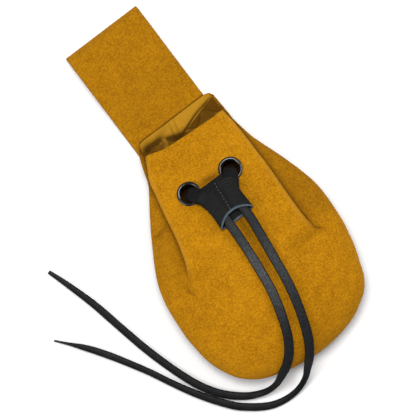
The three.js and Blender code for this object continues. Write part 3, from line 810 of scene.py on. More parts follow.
    def rest_height(self, y: Array) -> Array:
        """Height of the back where it lies: on the floor, or on the loop's two ends."""
        s = self.sizes
        return s.loop_stack * smooth((y - (s.loop_end - self.ramp_start)) / self.ramp_run) + s.leather / 2

    def flap_height(self, x: float, y: float) -> float:
        """Height of the middle of the leather on the front's outer layer.

        Args:
            x: The place across the bag.
            y: The place along the bag.

        Returns:
            The height.
        """
        s = self.sizes
        along = np.array([(s.mouth_y - y) / s.bag_length])
        spine = float(HEIGHTS.read("spine", along)[0]) * s.half_width
        rays = self.side_rays(-1 if x < spine else 1, along)
        share = abs(x - spine) / self.pleat(rays)[2]
        return float(self.front_profile(rays, Part.FLAP, share)[1][0])

    def _seat(self, across: float, up: float) -> EyeletSeat:
        """The seat of an eyelet at a place seen from above.

        Args:
            across: The eyelet's place across the bag.
            up: Its place along the bag.

        Returns:
            The seat.
        """
        step = self.slope_step
        height = self.flap_height(across, up)
        right = (self.flap_height(across + step, up) - self.flap_height(across - step, up)) / (2 * step)
        ahead = (self.flap_height(across, up + step) - self.flap_height(across, up - step)) / (2 * step)
        axis = np.array([-right, -ahead, 1.0])
        return EyeletSeat(np.array([across, up, height]), axis / np.linalg.norm(axis))

    def pressed(self, points: Array) -> Array:
        """Heights of the flap, pressed flat round each eyelet.

        Args:
            points: Points of the flap.

        Returns:
            The heights.
        """
        height = points[..., 2]
        for seat in self.seats.values():
            away = points[..., :2] - seat.centre[:2]
            plane = seat.centre[2] - away @ seat.axis[:2] / seat.axis[2]
            far = np.linalg.norm(away, axis=-1)
            height = mix(plane, height, smooth((far - self.pressed_reach) / self.pressed_fade))
        return height


def unit(vectors: Array) -> Array:
    """Vectors of length 1, or of length 0 where they had none."""
    return vectors / np.maximum(np.linalg.norm(vectors, axis=-1, keepdims=True), 1e-12)


def placed(rays: Rays, distance: Array, height: Array) -> Array:
    """Points at a distance out along each ray, at a height."""
    flat = rays.start + rays.heading * np.asarray(distance)[..., None]
    return np.concatenate([flat, np.broadcast_to(height, flat.shape[:1])[:, None]], axis=-1)


@dataclass
class Sheet:
    """A grid of points on the middle of a sheet of leather, with values that its material reads, painted
    shade among them.
    """

    points: Array
    values: dict[str, Array] = field(default_factory=dict)
    merge_distance: float = 1e-6
    edge_bulge: float = 0.35

    def normals(self, ids: Array, faces: Array, count: int) -> tuple[Array, Array]:
        """Merged points and their normals.

        Args:
            ids: Each point's merged number.
            faces: The faces, by those numbers.
            count: How many merged points there are.

        Returns:
            The points and the normals.
        """
        merged = np.zeros((count, 3))
        merged[ids.ravel()] = self.points.reshape(-1, 3)
        a, b, c, d = (merged[faces[:, k]] for k in range(4))
        across = np.cross(c - a, d - b)
        normal = np.zeros((count, 3))
        for k in range(4):
            np.add.at(normal, faces[:, k], across)
        return merged, unit(normal)

    def thickened(self, name: str, thickness: float | Array) -> bpy.types.Object:
        """Makes the sheet a closed shell with softly rounded cut edges.

        Args:
            name: The object's name.
            thickness: The leather's thickness, one value or one for each point.

        Returns:
            A mesh whose attribute inside is 1 on the inner face, and cut is 1 on the cut edges.
        """
        keys = np.round(self.points.reshape(-1, 3) / self.merge_distance).astype(np.int64)
        _, ids = np.unique(keys, axis=0, return_inverse=True)
        ids = ids.reshape(self.points.shape[:2])
        count = int(ids.max()) + 1
        quads = np.stack([ids[:-1, :-1], ids[:-1, 1:], ids[1:, 1:], ids[1:, :-1]], axis=-1).reshape(-1, 4)
        merged, normal = self.normals(ids, quads, count)
        half = np.zeros(count)
        half[ids.ravel()] = np.broadcast_to(thickness, ids.shape).ravel() / 2
        outer = merged + normal * half[:, None]
        inner = merged - normal * half[:, None]
        rim = self._rim(quads)
        rim_ids = rim[:, 0]
        place = {int(point): index for index, point in enumerate(rim_ids)}
        ahead = merged[rim[:, 1]] - merged[rim[:, 0]]
        previous = np.zeros_like(ahead)
        for index, (_, end) in enumerate(rim):
            previous[place[int(end)]] = ahead[index]
        outward = unit(np.cross(ahead + previous, normal[rim_ids]))
        middle = merged[rim_ids] + outward * half[rim_ids, None] * self.edge_bulge
        vertices = np.concatenate([outer, inner, middle])
        polygons = [self._face(q) for q in quads]
        polygons += [self._face(q[::-1] + count) for q in quads]
        for index, (start, end) in enumerate(rim):
            low, high = 2 * count + index, 2 * count + place[int(end)]
            polygons.append([int(end), int(start), low, high])
            polygons.append([high, low, int(start) + count, int(end) + count])
        mesh = bpy.data.meshes.new(name)
        mesh.from_pydata(vertices.tolist(), [], [p for p in polygons if len(p) > 2])
        zero, one, edge = np.zeros(count), np.ones(count), np.ones(len(rim_ids))
        paint(mesh, "inside", np.concatenate([zero, one, edge * 0.5]))
        paint(mesh, "cut", np.concatenate([zero, zero, edge]))
        for title, value in self.values.items():
            flat = np.zeros(count)
            flat[ids.ravel()] = value.ravel()
            paint(mesh, title, np.concatenate([flat, flat, flat[rim_ids]]))
        return finished(name, mesh)

    @staticmethod
    def _face(corners: Array) -> list[int]:
        """A face's corners, each once."""
        return list(dict.fromkeys(int(corner) for corner in corners))

    @staticmethod
    def _rim(quads: Array) -> Array:
        """The edges that only one face has, in that face's direction.

        Args:
            quads: The faces.

        Returns:
            The edges, as pairs of points.
        """
        seen = set()
        for quad in quads.tolist():
            for k in range(4):
                if quad[k] != quad[(k + 1) % 4]:
                    seen.add((quad[k], quad[(k + 1) % 4]))
        return np.array([edge for edge in sorted(seen) if edge[::-1] not in seen])


def paint(mesh: bpy.types.Mesh, name: str, values: Array) -> None:
    """Gives each vertex of a mesh a value that its material reads.

    Args:
        mesh: The mesh.
        name: The name that the material reads.
        values: One value for each vertex.
    """
    if name in mesh.attributes:
        mesh.attributes.remove(mesh.attributes[name])
    attribute = mesh.attributes.new(name, "FLOAT", "POINT")
    attribute.data.foreach_set("value", np.asarray(values, np.float32))


def painted(mesh: bpy.types.Mesh, name: str) -> Array:
    """The values that paint gave to a mesh's vertices.

    Args:
        mesh: The mesh.
        name: The values' name.

    Returns:
        One value for each vertex.
    """
    values = np.zeros(len(mesh.vertices), np.float32)
    mesh.attributes[name].data.foreach_get("value", values)
    return values


def vectors_of(mesh: bpy.types.Mesh, name: str) -> Array:
    """One vector for each vertex of a mesh: its place, co, or its normal.

    Args:
        mesh: The mesh.
        name: Blender's name of the vector.

    Returns:
        The vectors.
    """
    values = np.zeros(len(mesh.vertices) * 3)
    mesh.vertices.foreach_get(name, values)
    return values.reshape(-1, 3)


def hand_over(piece: bpy.types.Object, node: str | None) -> None:
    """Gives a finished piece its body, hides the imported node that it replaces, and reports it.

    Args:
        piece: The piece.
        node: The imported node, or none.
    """
    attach(piece, BODY)
    if node:
        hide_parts(node)
    log.info("%s: %d faces", piece.name, len(piece.data.polygons))


def finished(name: str, mesh: bpy.types.Mesh) -> bpy.types.Object:
    """Puts a mesh in the scene with smooth faces.

    Args:
        name: The object's name.
        mesh: Its mesh, in place.

    Returns:
        The object.
    """
    mesh.validate()
    mesh.polygons.foreach_set("use_smooth", [True] * len(mesh.polygons))
    mesh.update()
    piece = bpy.data.objects.new(name, mesh)
    bpy.context.scene.collection.objects.link(piece)
    return piece


def together(name: str, parts: list[bpy.types.Object]) -> bpy.types.Object:
    """Puts several closed shells in one object and drops the parts.

    Args:
        name: The new object's name.
        parts: The shells, which may overlap.

    Returns:
        The new object.
    """
    vertices, polygons = [], []
    for part in parts:
        first = len(vertices)
        vertices += [tuple(vertex.co) for vertex in part.data.vertices]
        polygons += [[first + corner for corner in face.vertices] for face in part.data.polygons]
        bpy.data.objects.remove(part)
    mesh = bpy.data.meshes.new(name)
    mesh.from_pydata(vertices, [], polygons)
    return finished(name, mesh)


class Finish:
    """A node material, built from the shader outwards."""

    def __init__(self, name: str) -> None:
        """Starts with a Principled shader and its output.

        Args:
            name: The material's name.
        """
        self.material = bpy.data.materials.new(name)
        self.material.use_nodes = True
        self.tree = self.material.node_tree
        self.shader = self.tree.nodes["Principled BSDF"]
        self.place = self.node("ShaderNodeTexCoord").outputs["Object"]

    def node(self, kind: str, **settings: object) -> bpy.types.Node:
        """A new node.

        Args:
            kind: Blender's name of its type.
            **settings: Its properties and inputs.

        Returns:
            The node.
        """
        made = self.tree.nodes.new(kind)
        for key, value in settings.items():
            if hasattr(made, key):
                setattr(made, key, value)
            else:
                made.inputs[key.replace("_", " ")].default_value = value
        return made

    def join(self, start: bpy.types.NodeSocket, end: bpy.types.NodeSocket) -> None:
        """Links two sockets."""
        self.tree.links.new(start, end)

    def _fill(self, *pairs: tuple[bpy.types.NodeSocket, object]) -> None:
        """Gives each input its link or its plain value.

        Args:
            *pairs: Each input, and what goes into it.
        """
        for socket, given in pairs:
            if isinstance(given, bpy.types.NodeSocket):
                self.join(given, socket)
            else:
                socket.default_value = given

    def noise(self, size: float, detail: float = 2, roughness: float = 0.5) -> bpy.types.NodeSocket:
        """Noise over the object's place.

        Args:
            size: The distance between its lumps, in metres.
            detail: How many finer layers it has.
            roughness: How strong the finer layers are.

        Returns:
            The noise's value, about 0.5.
        """
        made = self.node("ShaderNodeTexNoise", Scale=1 / size, Detail=detail, Roughness=roughness)
        self.join(self.place, made.inputs["Vector"])
        return made.outputs["Fac"]

    def value(self, name: str) -> bpy.types.NodeSocket:
        """A value that the mesh's vertices carry."""
        made = self.node("ShaderNodeAttribute", attribute_name=name)
        return made.outputs["Fac"]

    def ramp(self, source: bpy.types.NodeSocket, *stops: tuple[float, float]) -> bpy.types.NodeSocket:
        """Maps a value through grey stops.

        Args:
            source: The value.
            *stops: Each stop's place and grey.

        Returns:
            The grey.
        """
        made = self.node("ShaderNodeValToRGB")
        elements = made.color_ramp.elements
        while len(elements) < len(stops):
            elements.new(0.5)
        for element, (place, grey) in zip(elements, stops):
            element.position = place
            element.color = (grey, grey, grey, 1)
        self.join(source, made.inputs["Fac"])
        return made.outputs["Color"]

    def blend(
        self,
        share: bpy.types.NodeSocket | float,
        first: bpy.types.NodeSocket | tuple,
        second: bpy.types.NodeSocket | tuple,
        kind: str = "MIX",
    ) -> bpy.types.NodeSocket:
        """Blends two colours by a share.

        Args:
            share: How much of the second colour.
            first: The first colour.
            second: The second colour.
            kind: Blender's name of the blend.

        Returns:
            The blended colour.
        """
        made = self.node("ShaderNodeMix", data_type="RGBA", blend_type=kind)
        self._fill((made.inputs[0], share), (made.inputs[6], first), (made.inputs[7], second))
        return made.outputs[2]

    def maths(
        self, operation: str, first: bpy.types.NodeSocket | float, second: bpy.types.NodeSocket | float
    ) -> bpy.types.NodeSocket:
        """One step of arithmetic on two values.

        Args:
            operation: Blender's name of the step.
            first: The first value.
            second: The second value.

        Returns:
            The result.
        """
        made = self.node("ShaderNodeMath", operation=operation)
        self._fill((made.inputs[0], first), (made.inputs[1], second))
        return made.outputs[0]

    def bump(self, height: bpy.types.NodeSocket, strength: float, distance: float) -> None:
        """Roughens the surface by a height, on top of what was there.

        Args:
            height: The height.
            strength: How strongly it shows.
            distance: How high a height of 1 is.
        """
        made = self.node("ShaderNodeBump", Strength=strength, Distance=distance)
        self.join(height, made.inputs["Height"])
        socket = self.shader.inputs["Normal"]
        if socket.is_linked:
            self.join(socket.links[0].from_socket, made.inputs["Normal"])
        self.join(made.outputs["Normal"], socket)

    def constant(self, **inputs: float | tuple) -> None:
        """Sets the shader's own sockets."""
        for name, value in inputs.items():
            self.shader.inputs[name.replace("_", " ")].default_value = value


def shade(colour: tuple[float, float, float], factor: float = 1) -> tuple[float, float, float, float]:
    """A linear colour times a factor, with full alpha."""
    return (*(channel * factor for channel in colour), 1.0)


@dataclass(frozen=True)
class SuedeFinish:
    """Ochre suede: mottled nap outside, smoother and paler leather inside, darker cut edges, and a dark brown
    painted shade.
    """

    name: str = "ochre_suede"
    nap: tuple[float, float, float] = (0.52, 0.226, 0.004)
    brushed: tuple[float, float, float] = (0.25, 0.096, 0.0015)
    worn: tuple[float, float, float] = (0.45, 0.215, 0.02)
    inner: tuple[float, float, float] = (0.4, 0.195, 0.012)
    edge: tuple[float, float, float] = (0.16, 0.062, 0.003)
    grain: float = 0.0012
    patch: float = 0.006
    cloud: float = 0.035

    def build(self) -> bpy.types.Material:
        """Makes the material.

        Returns:
            The material.
        """
        f = Finish(self.name)
        cloud = f.ramp(f.noise(self.cloud, 3), (0.3, 0), (0.7, 1))
        patch = f.ramp(f.noise(self.patch, 4, 0.6), (0.32, 0), (0.68, 1))
        grain = f.ramp(f.noise(self.grain, 3, 0.8), (0.4, 0), (0.6, 1))
        mottled = f.maths("ADD", f.maths("MULTIPLY", cloud, 0.2), f.maths("MULTIPLY", patch, 0.25))
        mottled = f.maths("ADD", mottled, f.maths("MULTIPLY", grain, 0.58))
        colour = f.blend(mottled, shade(self.nap, 1.04), shade(self.brushed))
        colour = f.blend(f.value("wear_and_sheen"), colour, shade(self.worn))
        half_patch = f.maths("MULTIPLY", patch, 0.5)
        smooth_side = f.blend(half_patch, shade(self.inner, 1.05), shade(self.inner, 0.8))
        colour = f.blend(f.value("inside"), colour, smooth_side)
        colour = f.blend(f.value("cut"), colour, shade(self.edge))
        # Painted shade: a dark brown blended in where the mesh marks the leather as lying in shade.
        colour = f.blend(f.value("painted_shade"), colour, shade(self.edge, 0.35))
        f.join(colour, f.shader.inputs["Base Color"])
        f.constant(Roughness=0.92, Specular_IOR_Level=0.06, Sheen_Weight=0.12, Sheen_Roughness=0.5)
        f.constant(Sheen_Tint=shade((0.9, 0.5, 0.06)))
        f.bump(f.noise(self.grain, 3, 0.65), 0.32, 0.0003)
        f.bump(f.noise(self.patch * 0.4, 3, 0.6), 0.25, 0.0005)
        return f.material


@dataclass(frozen=True)
class LaceFinish:
    """Smooth black leather with a soft shine, a fine grain and a painted sheen, a mottled paler grey, where
    the mesh's values give it.
    """

    name: str = "black_lace_leather"
    colour: tuple[float, float, float] = (0.005, 0.0053, 0.006)
    # Colour of the painted sheen.
    rubbed: tuple[float, float, float] = (0.04, 0.042, 0.045)
    roughness: float = 0.4
    grain: float = 0.0009

    def build(self) -> bpy.types.Material:
        """Makes the material.

        Returns:
            The material.
        """
        f = Finish(self.name)
        mottled = f.ramp(f.noise(self.grain * 4, 3), (0.3, 0.7), (0.7, 1.3))
        tone = f.blend(1.0, shade(self.colour), mottled, "MULTIPLY")
        # Painted sheen: a mottled paler grey that stands in for the lace's shine.
        sheen_mottle = f.ramp(f.noise(self.grain, 4, 0.7), (0.36, 0.35), (0.64, 1.9))
        rubbed = f.blend(1.0, shade(self.rubbed), sheen_mottle, "MULTIPLY")
        f.join(f.blend(f.value("wear_and_sheen"), tone, rubbed), f.shader.inputs["Base Color"])
        smoother, rougher = self.roughness - 0.06, self.roughness + 0.1
        rough = f.ramp(f.noise(self.grain * 2, 3), (0.3, smoother), (0.7, rougher))
        f.join(rough, f.shader.inputs["Roughness"])
        f.constant(Specular_IOR_Level=0.1)
        f.bump(f.noise(self.grain, 4, 0.6), 0.3, 0.0002)
        return f.material


@dataclass(frozen=True)
class SliderFinish:
    """Matt black leather with a brushed nap, blue-grey cut edges and a painted highlight on the wrinkles'
    ridges.
    """

    name: str = "black_slider_leather"
    colour: tuple[float, float, float] = (0.0045, 0.0044, 0.0043)
    # Colour of the painted highlight on the ridges.
    ridge_highlight: tuple[float, float, float] = (0.024, 0.0243, 0.0246)
    edge: tuple[float, float, float] = (0.07, 0.092, 0.108)
    grain: float = 0.0006

    def build(self) -> bpy.types.Material:
        """Makes the material.

        Returns:
            The material.
        """
        f = Finish(self.name)
        mottled = f.ramp(f.noise(self.grain * 3, 4, 0.6), (0.3, 0.65), (0.7, 1.45))
        tone = f.blend(1.0, shade(self.colour), mottled, "MULTIPLY")
        # Painted highlight: the wrinkles' ridges are paler.
        tone = f.blend(f.value("ridge_highlight"), tone, shade(self.ridge_highlight))
        flecks = f.ramp(f.noise(self.grain * 1.4, 3, 0.6), (0.3, 0.55), (0.7, 1.25))
        edge = f.blend(1.0, shade(self.edge), flecks, "MULTIPLY")
        f.join(f.blend(f.value("cut"), tone, edge), f.shader.inputs["Base Color"])
        f.constant(Roughness=0.6, Specular_IOR_Level=0.1)
        f.bump(f.noise(self.grain, 3, 0.6), 0.35, 0.00025)
        return f.material


@dataclass(frozen=True)
class MetalFinish:
    """Gloss black metal, worn a little brown."""

    name: str = "black_eyelet_metal"
    colour: tuple[float, float, float] = (0.004, 0.0035, 0.0035)
    roughness: float = 0.14

    def build(self) -> bpy.types.Material:
        """Makes the material.

        Returns:
            The material.
        """
        f = Finish(self.name)
        mottled = f.ramp(f.noise(0.002, 3), (0.3, 0.85), (0.7, 1.2))
        f.join(f.blend(1.0, shade(self.colour), mottled, "MULTIPLY"), f.shader.inputs["Base Color"])
        f.constant(Roughness=self.roughness, Specular_IOR_Level=0.5)
        return f.material


@dataclass(frozen=True)
class ThreadFinish:
    """Sewing thread."""

    name: str
    colour: tuple[float, float, float]

    def build(self) -> bpy.types.Material:
        """Makes the material.

        Returns:
            The material.
        """
        f = Finish(self.name)
        twist = f.ramp(f.noise(0.00025, 2), (0.3, 0.7), (0.7, 1.2))
        f.join(f.blend(1.0, shade(self.colour), twist, "MULTIPLY"), f.shader.inputs["Base Color"])
        f.constant(Roughness=0.8, Specular_IOR_Level=0.2)
        f.bump(f.noise(0.0002, 2), 0.3, 0.0001)
        return f.material


class Route:
    """A smooth curve through chosen points, read at even steps along its length."""

    FINE_STEPS = 40

    def __init__(self, points: Array) -> None:
        """Works out the curve.

        Args:
            points: The chosen points, in metres.
        """
        p = np.asarray(points, float)
        padded = np.concatenate([[2 * p[0] - p[1]], p, [2 * p[-1] - p[-2]]])
        root = np.sqrt(np.linalg.norm(np.diff(padded, axis=0), axis=-1))
        fine = [p[:1]]
        t = np.linspace(0, 1, self.FINE_STEPS + 1)[1:, None]
        for k in range(len(p) - 1):
            x0, x1, x2, x3 = padded[k : k + 4]
            d0, d1, d2 = root[k : k + 3]
            start = ((x1 - x0) / d0 - (x2 - x0) / (d0 + d1) + (x2 - x1) / d1) * d1
            end = ((x2 - x1) / d1 - (x3 - x1) / (d1 + d2) + (x3 - x2) / d2) * d1
            fine.append(
                (2 * t**3 - 3 * t**2 + 1) * x1
                + (t**3 - 2 * t**2 + t) * start
                + (3 * t**2 - 2 * t**3) * x2
                + (t**3 - t**2) * end
            )
        self.fine = np.concatenate(fine)
        steps = np.linalg.norm(np.diff(self.fine, axis=0), axis=-1)
        self.run = np.concatenate([[0], np.cumsum(steps)])

    @property
    def length(self) -> float:
        """The curve's length."""
        return float(self.run[-1])

    def even(self, count: int) -> tuple[Array, Array]:
        """Points at even steps, and the directions there.

        Args:
            count: The number of steps.

        Returns:
            The points and the unit directions.
        """
        at = np.linspace(0, self.length, count + 1)
        points = np.stack([np.interp(at, self.run, self.fine[:, k]) for k in range(3)], axis=-1)
        direction = np.gradient(points, axis=0)
        return points, direction / np.linalg.norm(direction, axis=-1, keepdims=True)

    def sides(self, directions: Array, level: bool, start: Array) -> Array:
        """The way that a flat lace's width points, at each direction.

        Args:
            directions: The unit directions along the lace.
            level: True if the width stays level, False if it only turns with the lace.
            start: The width's way at the start.

        Returns:
            Unit vectors across the lace.
        """
        found = []
        side = start
        for direction in directions:
            if level:
                side = np.cross(direction, [0.0, 0.0, 1.0])
            side = side - direction * (side @ direction)
            side = side / np.linalg.norm(side)
            found.append(side)
        return np.array(found)


def swept(name: str, rings: Array) -> bpy.types.Object:
    """A closed tube through rings of points.

    Args:
        name: The object's name.
        rings: The rings, as (rings, corners, 3), each counter-clockwise seen from its end.

    Returns:
        The object.
    """
    count, corners = rings.shape[:2]
    ends = np.stack([rings[0].mean(axis=0), rings[-1].mean(axis=0)])
    vertices = np.concatenate([rings.reshape(-1, 3), ends])
    polygons = []
    for ring in range(count - 1):
        for corner in range(corners):
            following = (corner + 1) % corners
            a, b = ring * corners + corner, ring * corners + following
            polygons.append([a, b, b + corners, a + corners])
    first, last = count * corners, count * corners + 1
    for corner in range(corners):
        following = (corner + 1) % corners
        polygons.append([following, corner, first])
        polygons.append([(count - 1) * corners + corner, (count - 1) * corners + following, last])
    mesh = bpy.data.meshes.new(name)
    mesh.from_pydata(vertices.tolist(), [], polygons)
    return finished(name, mesh)


@dataclass
class LaceSizes:
    """The flat lace's sizes."""

    width: float = 0.0063
    thickness: float = 0.0028
    corners: int = 28
    flatness: float = 0.55
    edge_roundness: float = 0.72
    # Half the width of the painted sheen's middle band, as a share of the lace's width.
    sheen_half: float = 0.4

    def section(self) -> Array:
        """Corners of the flat section with round edges, for a width and thickness of 1.

        Returns:
            The corners.
        """
        angle = np.linspace(0, 2 * np.pi, self.corners, endpoint=False)
        x = np.sign(np.cos(angle)) * np.abs(np.cos(angle)) ** self.flatness / 2
        y = np.sign(np.sin(angle)) * np.abs(np.sin(angle)) ** self.edge_roundness / 2
        return np.stack([x, y], axis=-1)

    def rings(self, points: Array, sides: Array, directions: Array, wide: Array, thick: Array) -> Array:
        """Rings of the lace along its points.

        Args:
            points: The lace's middle line.
            sides: Directions across the lace.
            directions: Directions along it.
            wide: Its widths.
            thick: Its thicknesses.

        Returns:
            The rings.
        """
        up = np.cross(directions, sides)
        section = self.section()
        across = section[None, :, 0, None] * (sides * wide[:, None])[:, None, :]
        lifted = section[None, :, 1, None] * (up * thick[:, None])[:, None, :]
        return points[:, None, :] + across + lifted


@dataclass
class LaceTail:
    """One free tail of the lace, from inside the slider to its tapered tip."""

    name: str
    points: tuple
    widths: Table
    sizes: LaceSizes = field(default_factory=LaceSizes)
    steps: int = 260
    hidden: float = 0.0045
    tip_thickness: float = 0.0017
    tip_length: float = 0.02
    uneven: float = 0.025
    uneven_length: float = 0.011
    noise_seed: int = 11

    def build(self, leather: bpy.types.Material) -> bpy.types.Object:
        """Args:
            leather: The lace's material.

        Returns:
            The tail.
        """
        chosen = np.array(self.points)
        inside = chosen[0] + unit(chosen[0] - chosen[1]) * self.hidden
        route = Route(np.concatenate([[inside], chosen]))
        points, directions = route.even(self.steps)
        sides = route.sides(directions, True, np.array([1.0, 0, 0]))
        left = (1 - np.linspace(0, 1, self.steps + 1)) * route.length
        wide = self.sizes.width * self.widths.read("width", left)
        thick = mix(self.tip_thickness, self.sizes.thickness, np.clip(left / self.tip_length, 0, 1))
        wobble = SoftNoise(self.noise_seed).at(points, self.uneven_length)
        points[:, 2] -= (self.sizes.thickness - thick) / 2
        wide = wide * (1 + self.uneven * wobble)
        piece = swept(self.name, self.sizes.rings(points, sides, directions, wide, thick))
        # Painted sheen along the middle band, as much as the table gives.
        rubbed = self.widths.read("rubbed", left)
        middle = np.abs(self.sizes.section()[:, 0]) < self.sizes.sheen_half
        paint(piece.data, "wear_and_sheen", np.append((rubbed[:, None] * middle).ravel(), [0, 0]))
        piece.data.materials.append(leather)
        hand_over(piece, self.name)
        log.info("%s: %.0f mm of lace", self.name, route.length * 1000)
        return piece


@dataclass
class FrontPanel:
    """The bag's front: flap, Z-pleats, side layers and turned seam."""

    form: BagForm
    stations: Stations = Stations.spaced(36, 84, 100)
    name: str = "front_panel_leather"
    columns: tuple[Column, ...] = columns_of(
        (Part.FLAP, 44, 0, 1),
        (Part.CREASE, 10, 1, 1),
        (Part.MIDDLE, 24, 1, 3),
        (Part.INNER, 8, 3, 3),
        (Part.SIDE, 36, 3, 4),
        (Part.TURN, 5, 4, 4),
        (Part.ALLOWANCE, 2, 4, 4),
    )
    flat_size: tuple[float, float] = (0.20, 0.175)
    flat_area: float = 0.0268
    worn_crease: float = 0.42
    # Painted shade: deep in the pleats, streaked, and on each side layer under its crease, fading outwards.
    fold_shade: float = 0.7
    streaked: tuple[float, float, float] = (1, 0.3, 1)
    streak_length: float = 0.0022
    pocket_fade: float = 0.0021
    darkest_shade: float = 0.9
    worn_from: float = 0.965
    # Height and length of the leather's slack.
    slack: tuple[tuple[float, float], ...] = ((0.00022, 0.012), (0.00012, 0.005))
    punch_sides: int = 48
    punch_reach: float = 0.004
    slack_seed: int = 5
    streak_seed: int = 13
    # Soft hollows below the left eyelet, at both creases' lower ends and beside the right crease.
    dents: tuple[Dent, ...] = (
        Dent(-0.0398, -0.0057, 0.0018, 0.015, 0.0045),
        Dent(-0.0475, -0.0424, 0.0014, 0.007, 0.008),
        Dent(0.0508, -0.0656, 0.0012, 0.007, 0.006),
        Dent(0.0514, -0.0316, 0.0009, 0.005, 0.022),
    )
    # Finer folds: the puff on the left side layer with the groove above it, and the right crease's hooked
    # end.
    fine_folds: tuple[Dent, ...] = (
        Dent(-0.0365, -0.0026, 0.0013, 0.0065, 0.0014, 15),
        Dent(-0.037, -0.011, -0.0009, 0.006, 0.005),
        Dent(0.047, -0.0612, 0.0013, 0.0035, 0.0011, -50),
        Dent(0.05, -0.0575, -0.0008, 0.004, 0.003, -50),
        Dent(-0.0445, -0.0445, 0.0009, 0.001, 0.005, 12),
    )
    # Painted shade on the nap: at those folds and round the nested layer in the mouth's right corner.
    shaded: tuple[Dent, ...] = (
        Dent(-0.0362, -0.0024, 0.3, 0.0065, 0.0018, 15),
        Dent(0.0472, -0.0612, 0.5, 0.0035, 0.0012, -50),
        Dent(0.0448, -0.0555, 0.4, 0.0012, 0.006, 4),
        Dent(-0.0442, -0.0435, 0.35, 0.0014, 0.006, 12),
        Dent(0.031, 0.0412, 0.8, 0.007, 0.0016, 32),
        Dent(0.0395, 0.0425, 0.8, 0.0016, 0.004, 30),
        Dent(0.0345, 0.0405, 0.4, 0.006, 0.004),
        Dent(0.029, 0.0394, 0.8, 0.014, 0.0012),
        Dent(-0.004, 0.0415, 0.3, 0.009, 0.003, 10),
        Dent(-0.0092, 0.0455, 0.85, 0.0055, 0.004),
    )
    # Painted soft shadows on the flap: above the slider between the eyelets, and between the two tails.
    flap_shaded: tuple[Dent, ...] = (
        Dent(0.0105, 0.0066, 0.75, 0.0085, 0.0022, -6),
        Dent(0.0096, -0.031, 0.45, 0.0036, 0.014),
        Dent(0.0062, -0.06, 0.42, 0.003, 0.016, -6),
        Dent(-0.0006, -0.094, 0.3, 0.003, 0.012, -18),
    )
    # Painted shade on the folded side layers, left and right.
    side_shade: tuple[float, float] = (0.21, 0.26)

    def sheet(self) -> Sheet:
        """The front's middle, with its wear and its painted shade.

        Returns:
            The sheet.
        """
        noise = SoftNoise(self.slack_seed)
        lines, wear_and_sheen, painted_shade = [], [], []
        for column in self.columns:
            rays = self.stations.rays(self.form, FRONT_RIM, column.across)
            distance, level = self.form.front_profile(rays, column.part, column.share)
            points = placed(rays, distance, level)
            if column.part not in (Part.TURN, Part.ALLOWANCE):
                points[:, 2] -= sum(dent.depth(points) for dent in self.dents + self.fine_folds)
                points[:, 2] += sum(height * noise.at(points, length) for height, length in self.slack)
            if column.part is Part.FLAP:
                points[:, 2] = self.form.pressed(points)
            lines.append(points)
            folded = smooth(rays.fold / math.pi)
            wear_and_sheen.append(self.worn_crease * folded * self._crease_nearness(column))
            # Painted shade: in the pleats, at the listed places, and on the folded side layers.
            pocket = self.fold_shade * folded * self._pocket_nearness(rays, column, distance, points)
            shades = self.flap_shaded if column.part is Part.FLAP else self.shaded
            shaded = sum(dent.depth(points) for dent in shades)
            if column.part is Part.SIDE:
                shaded = shaded + folded * np.where(rays.heading[:, 0] < 0, *self.side_shade)
            painted_shade.append(np.minimum(self.darkest_shade, pocket + shaded))
        points = np.stack(lines, axis=1)
        return Sheet(points, {"wear_and_sheen": np.stack(wear_and_sheen, axis=1), "painted_shade": np.stack(painted_shade, axis=1)})

    def _crease_nearness(self, column: Column) -> float:
        """1 on the crease that edges the flap, 0 away from it.

        Args:
            column: A column of the sheet.

        Returns:
            The nearness.
        """
        if column.part is Part.CREASE:
            return 1 - column.share
        if column.part is Part.FLAP:
            return float(smooth((column.share - self.worn_from) / (1 - self.worn_from)))
        return 0.0

    def _pocket_nearness(self, rays: Rays, column: Column, distance: Array, points: Array) -> Array:
        """How deep in a pleat each place lies, which sets its painted shade.

        Args:
            rays: The column's rays.
            column: The column.
            distance: How far out each place is.
            points: The places.

        Returns:
            Streaks about 0.55 inside the pleat, and 1 on the side layer under the crease, fading outwards.
        """
        if column.part in (Part.MIDDLE, Part.INNER):
            streaks = SoftNoise(self.streak_seed)
            return 0.55 + 0.45 * streaks.at(points * self.streaked, self.streak_length)
        if column.part is Part.SIDE:
            return np.exp(-(np.maximum(distance - rays.crease, 0) / self.pocket_fade) ** 1.5)
        return np.zeros_like(rays.reach)

    def build(self, suede: bpy.types.Material) -> bpy.types.Object:
        """Makes the panel with its two punched holes.

        Args:
            suede: The panel's material.

        Returns:
            The panel.
        """
        piece = self.sheet().thickened(self.name, self.form.sizes.leather)
        for seat in self.form.seats.values():
            self._punch(piece, seat)
        piece.data.materials.append(suede)
        hand_over(piece, "front_panel")
        return piece

    def _punch(self, piece: bpy.types.Object, seat: EyeletSeat) -> None:
        """Cuts the hole that an eyelet sits in.

        Args:
            piece: The panel.
            seat: The eyelet's seat.
        """
        radius = self.form.sizes.eyelet_barrel + self.form.sizes.piece_gap / 2
        ring = np.linspace(0, 2 * np.pi, self.punch_sides, endpoint=False)
        circle = np.stack([np.cos(ring) * radius, np.sin(ring) * radius, 0 * ring], axis=-1)
        reach = np.array([-self.punch_reach, self.punch_reach])
        rings = seat.put(circle[None] + reach[:, None, None] * np.array([0, 0, 1.0]))
        cutter = swept("eyelet_punch", rings)
        hole = piece.modifiers.new("hole", "BOOLEAN")
        hole.object = cutter
        hole.operation = "DIFFERENCE"
        hole.solver = "EXACT"
        settle(piece)
        bpy.data.objects.remove(cutter)


def settle(piece: bpy.types.Object) -> None:
    """Replaces a piece's mesh by its evaluated one and drops its modifiers.

    Args:
        piece: The piece.
    """
    bpy.context.view_layer.update()
    graph = bpy.context.evaluated_depsgraph_get()
    mesh = bpy.data.meshes.new_from_object(
        piece.evaluated_get(graph), preserve_all_data_layers=True, depsgraph=graph
    )
    piece.modifiers.clear()
    piece.data = mesh


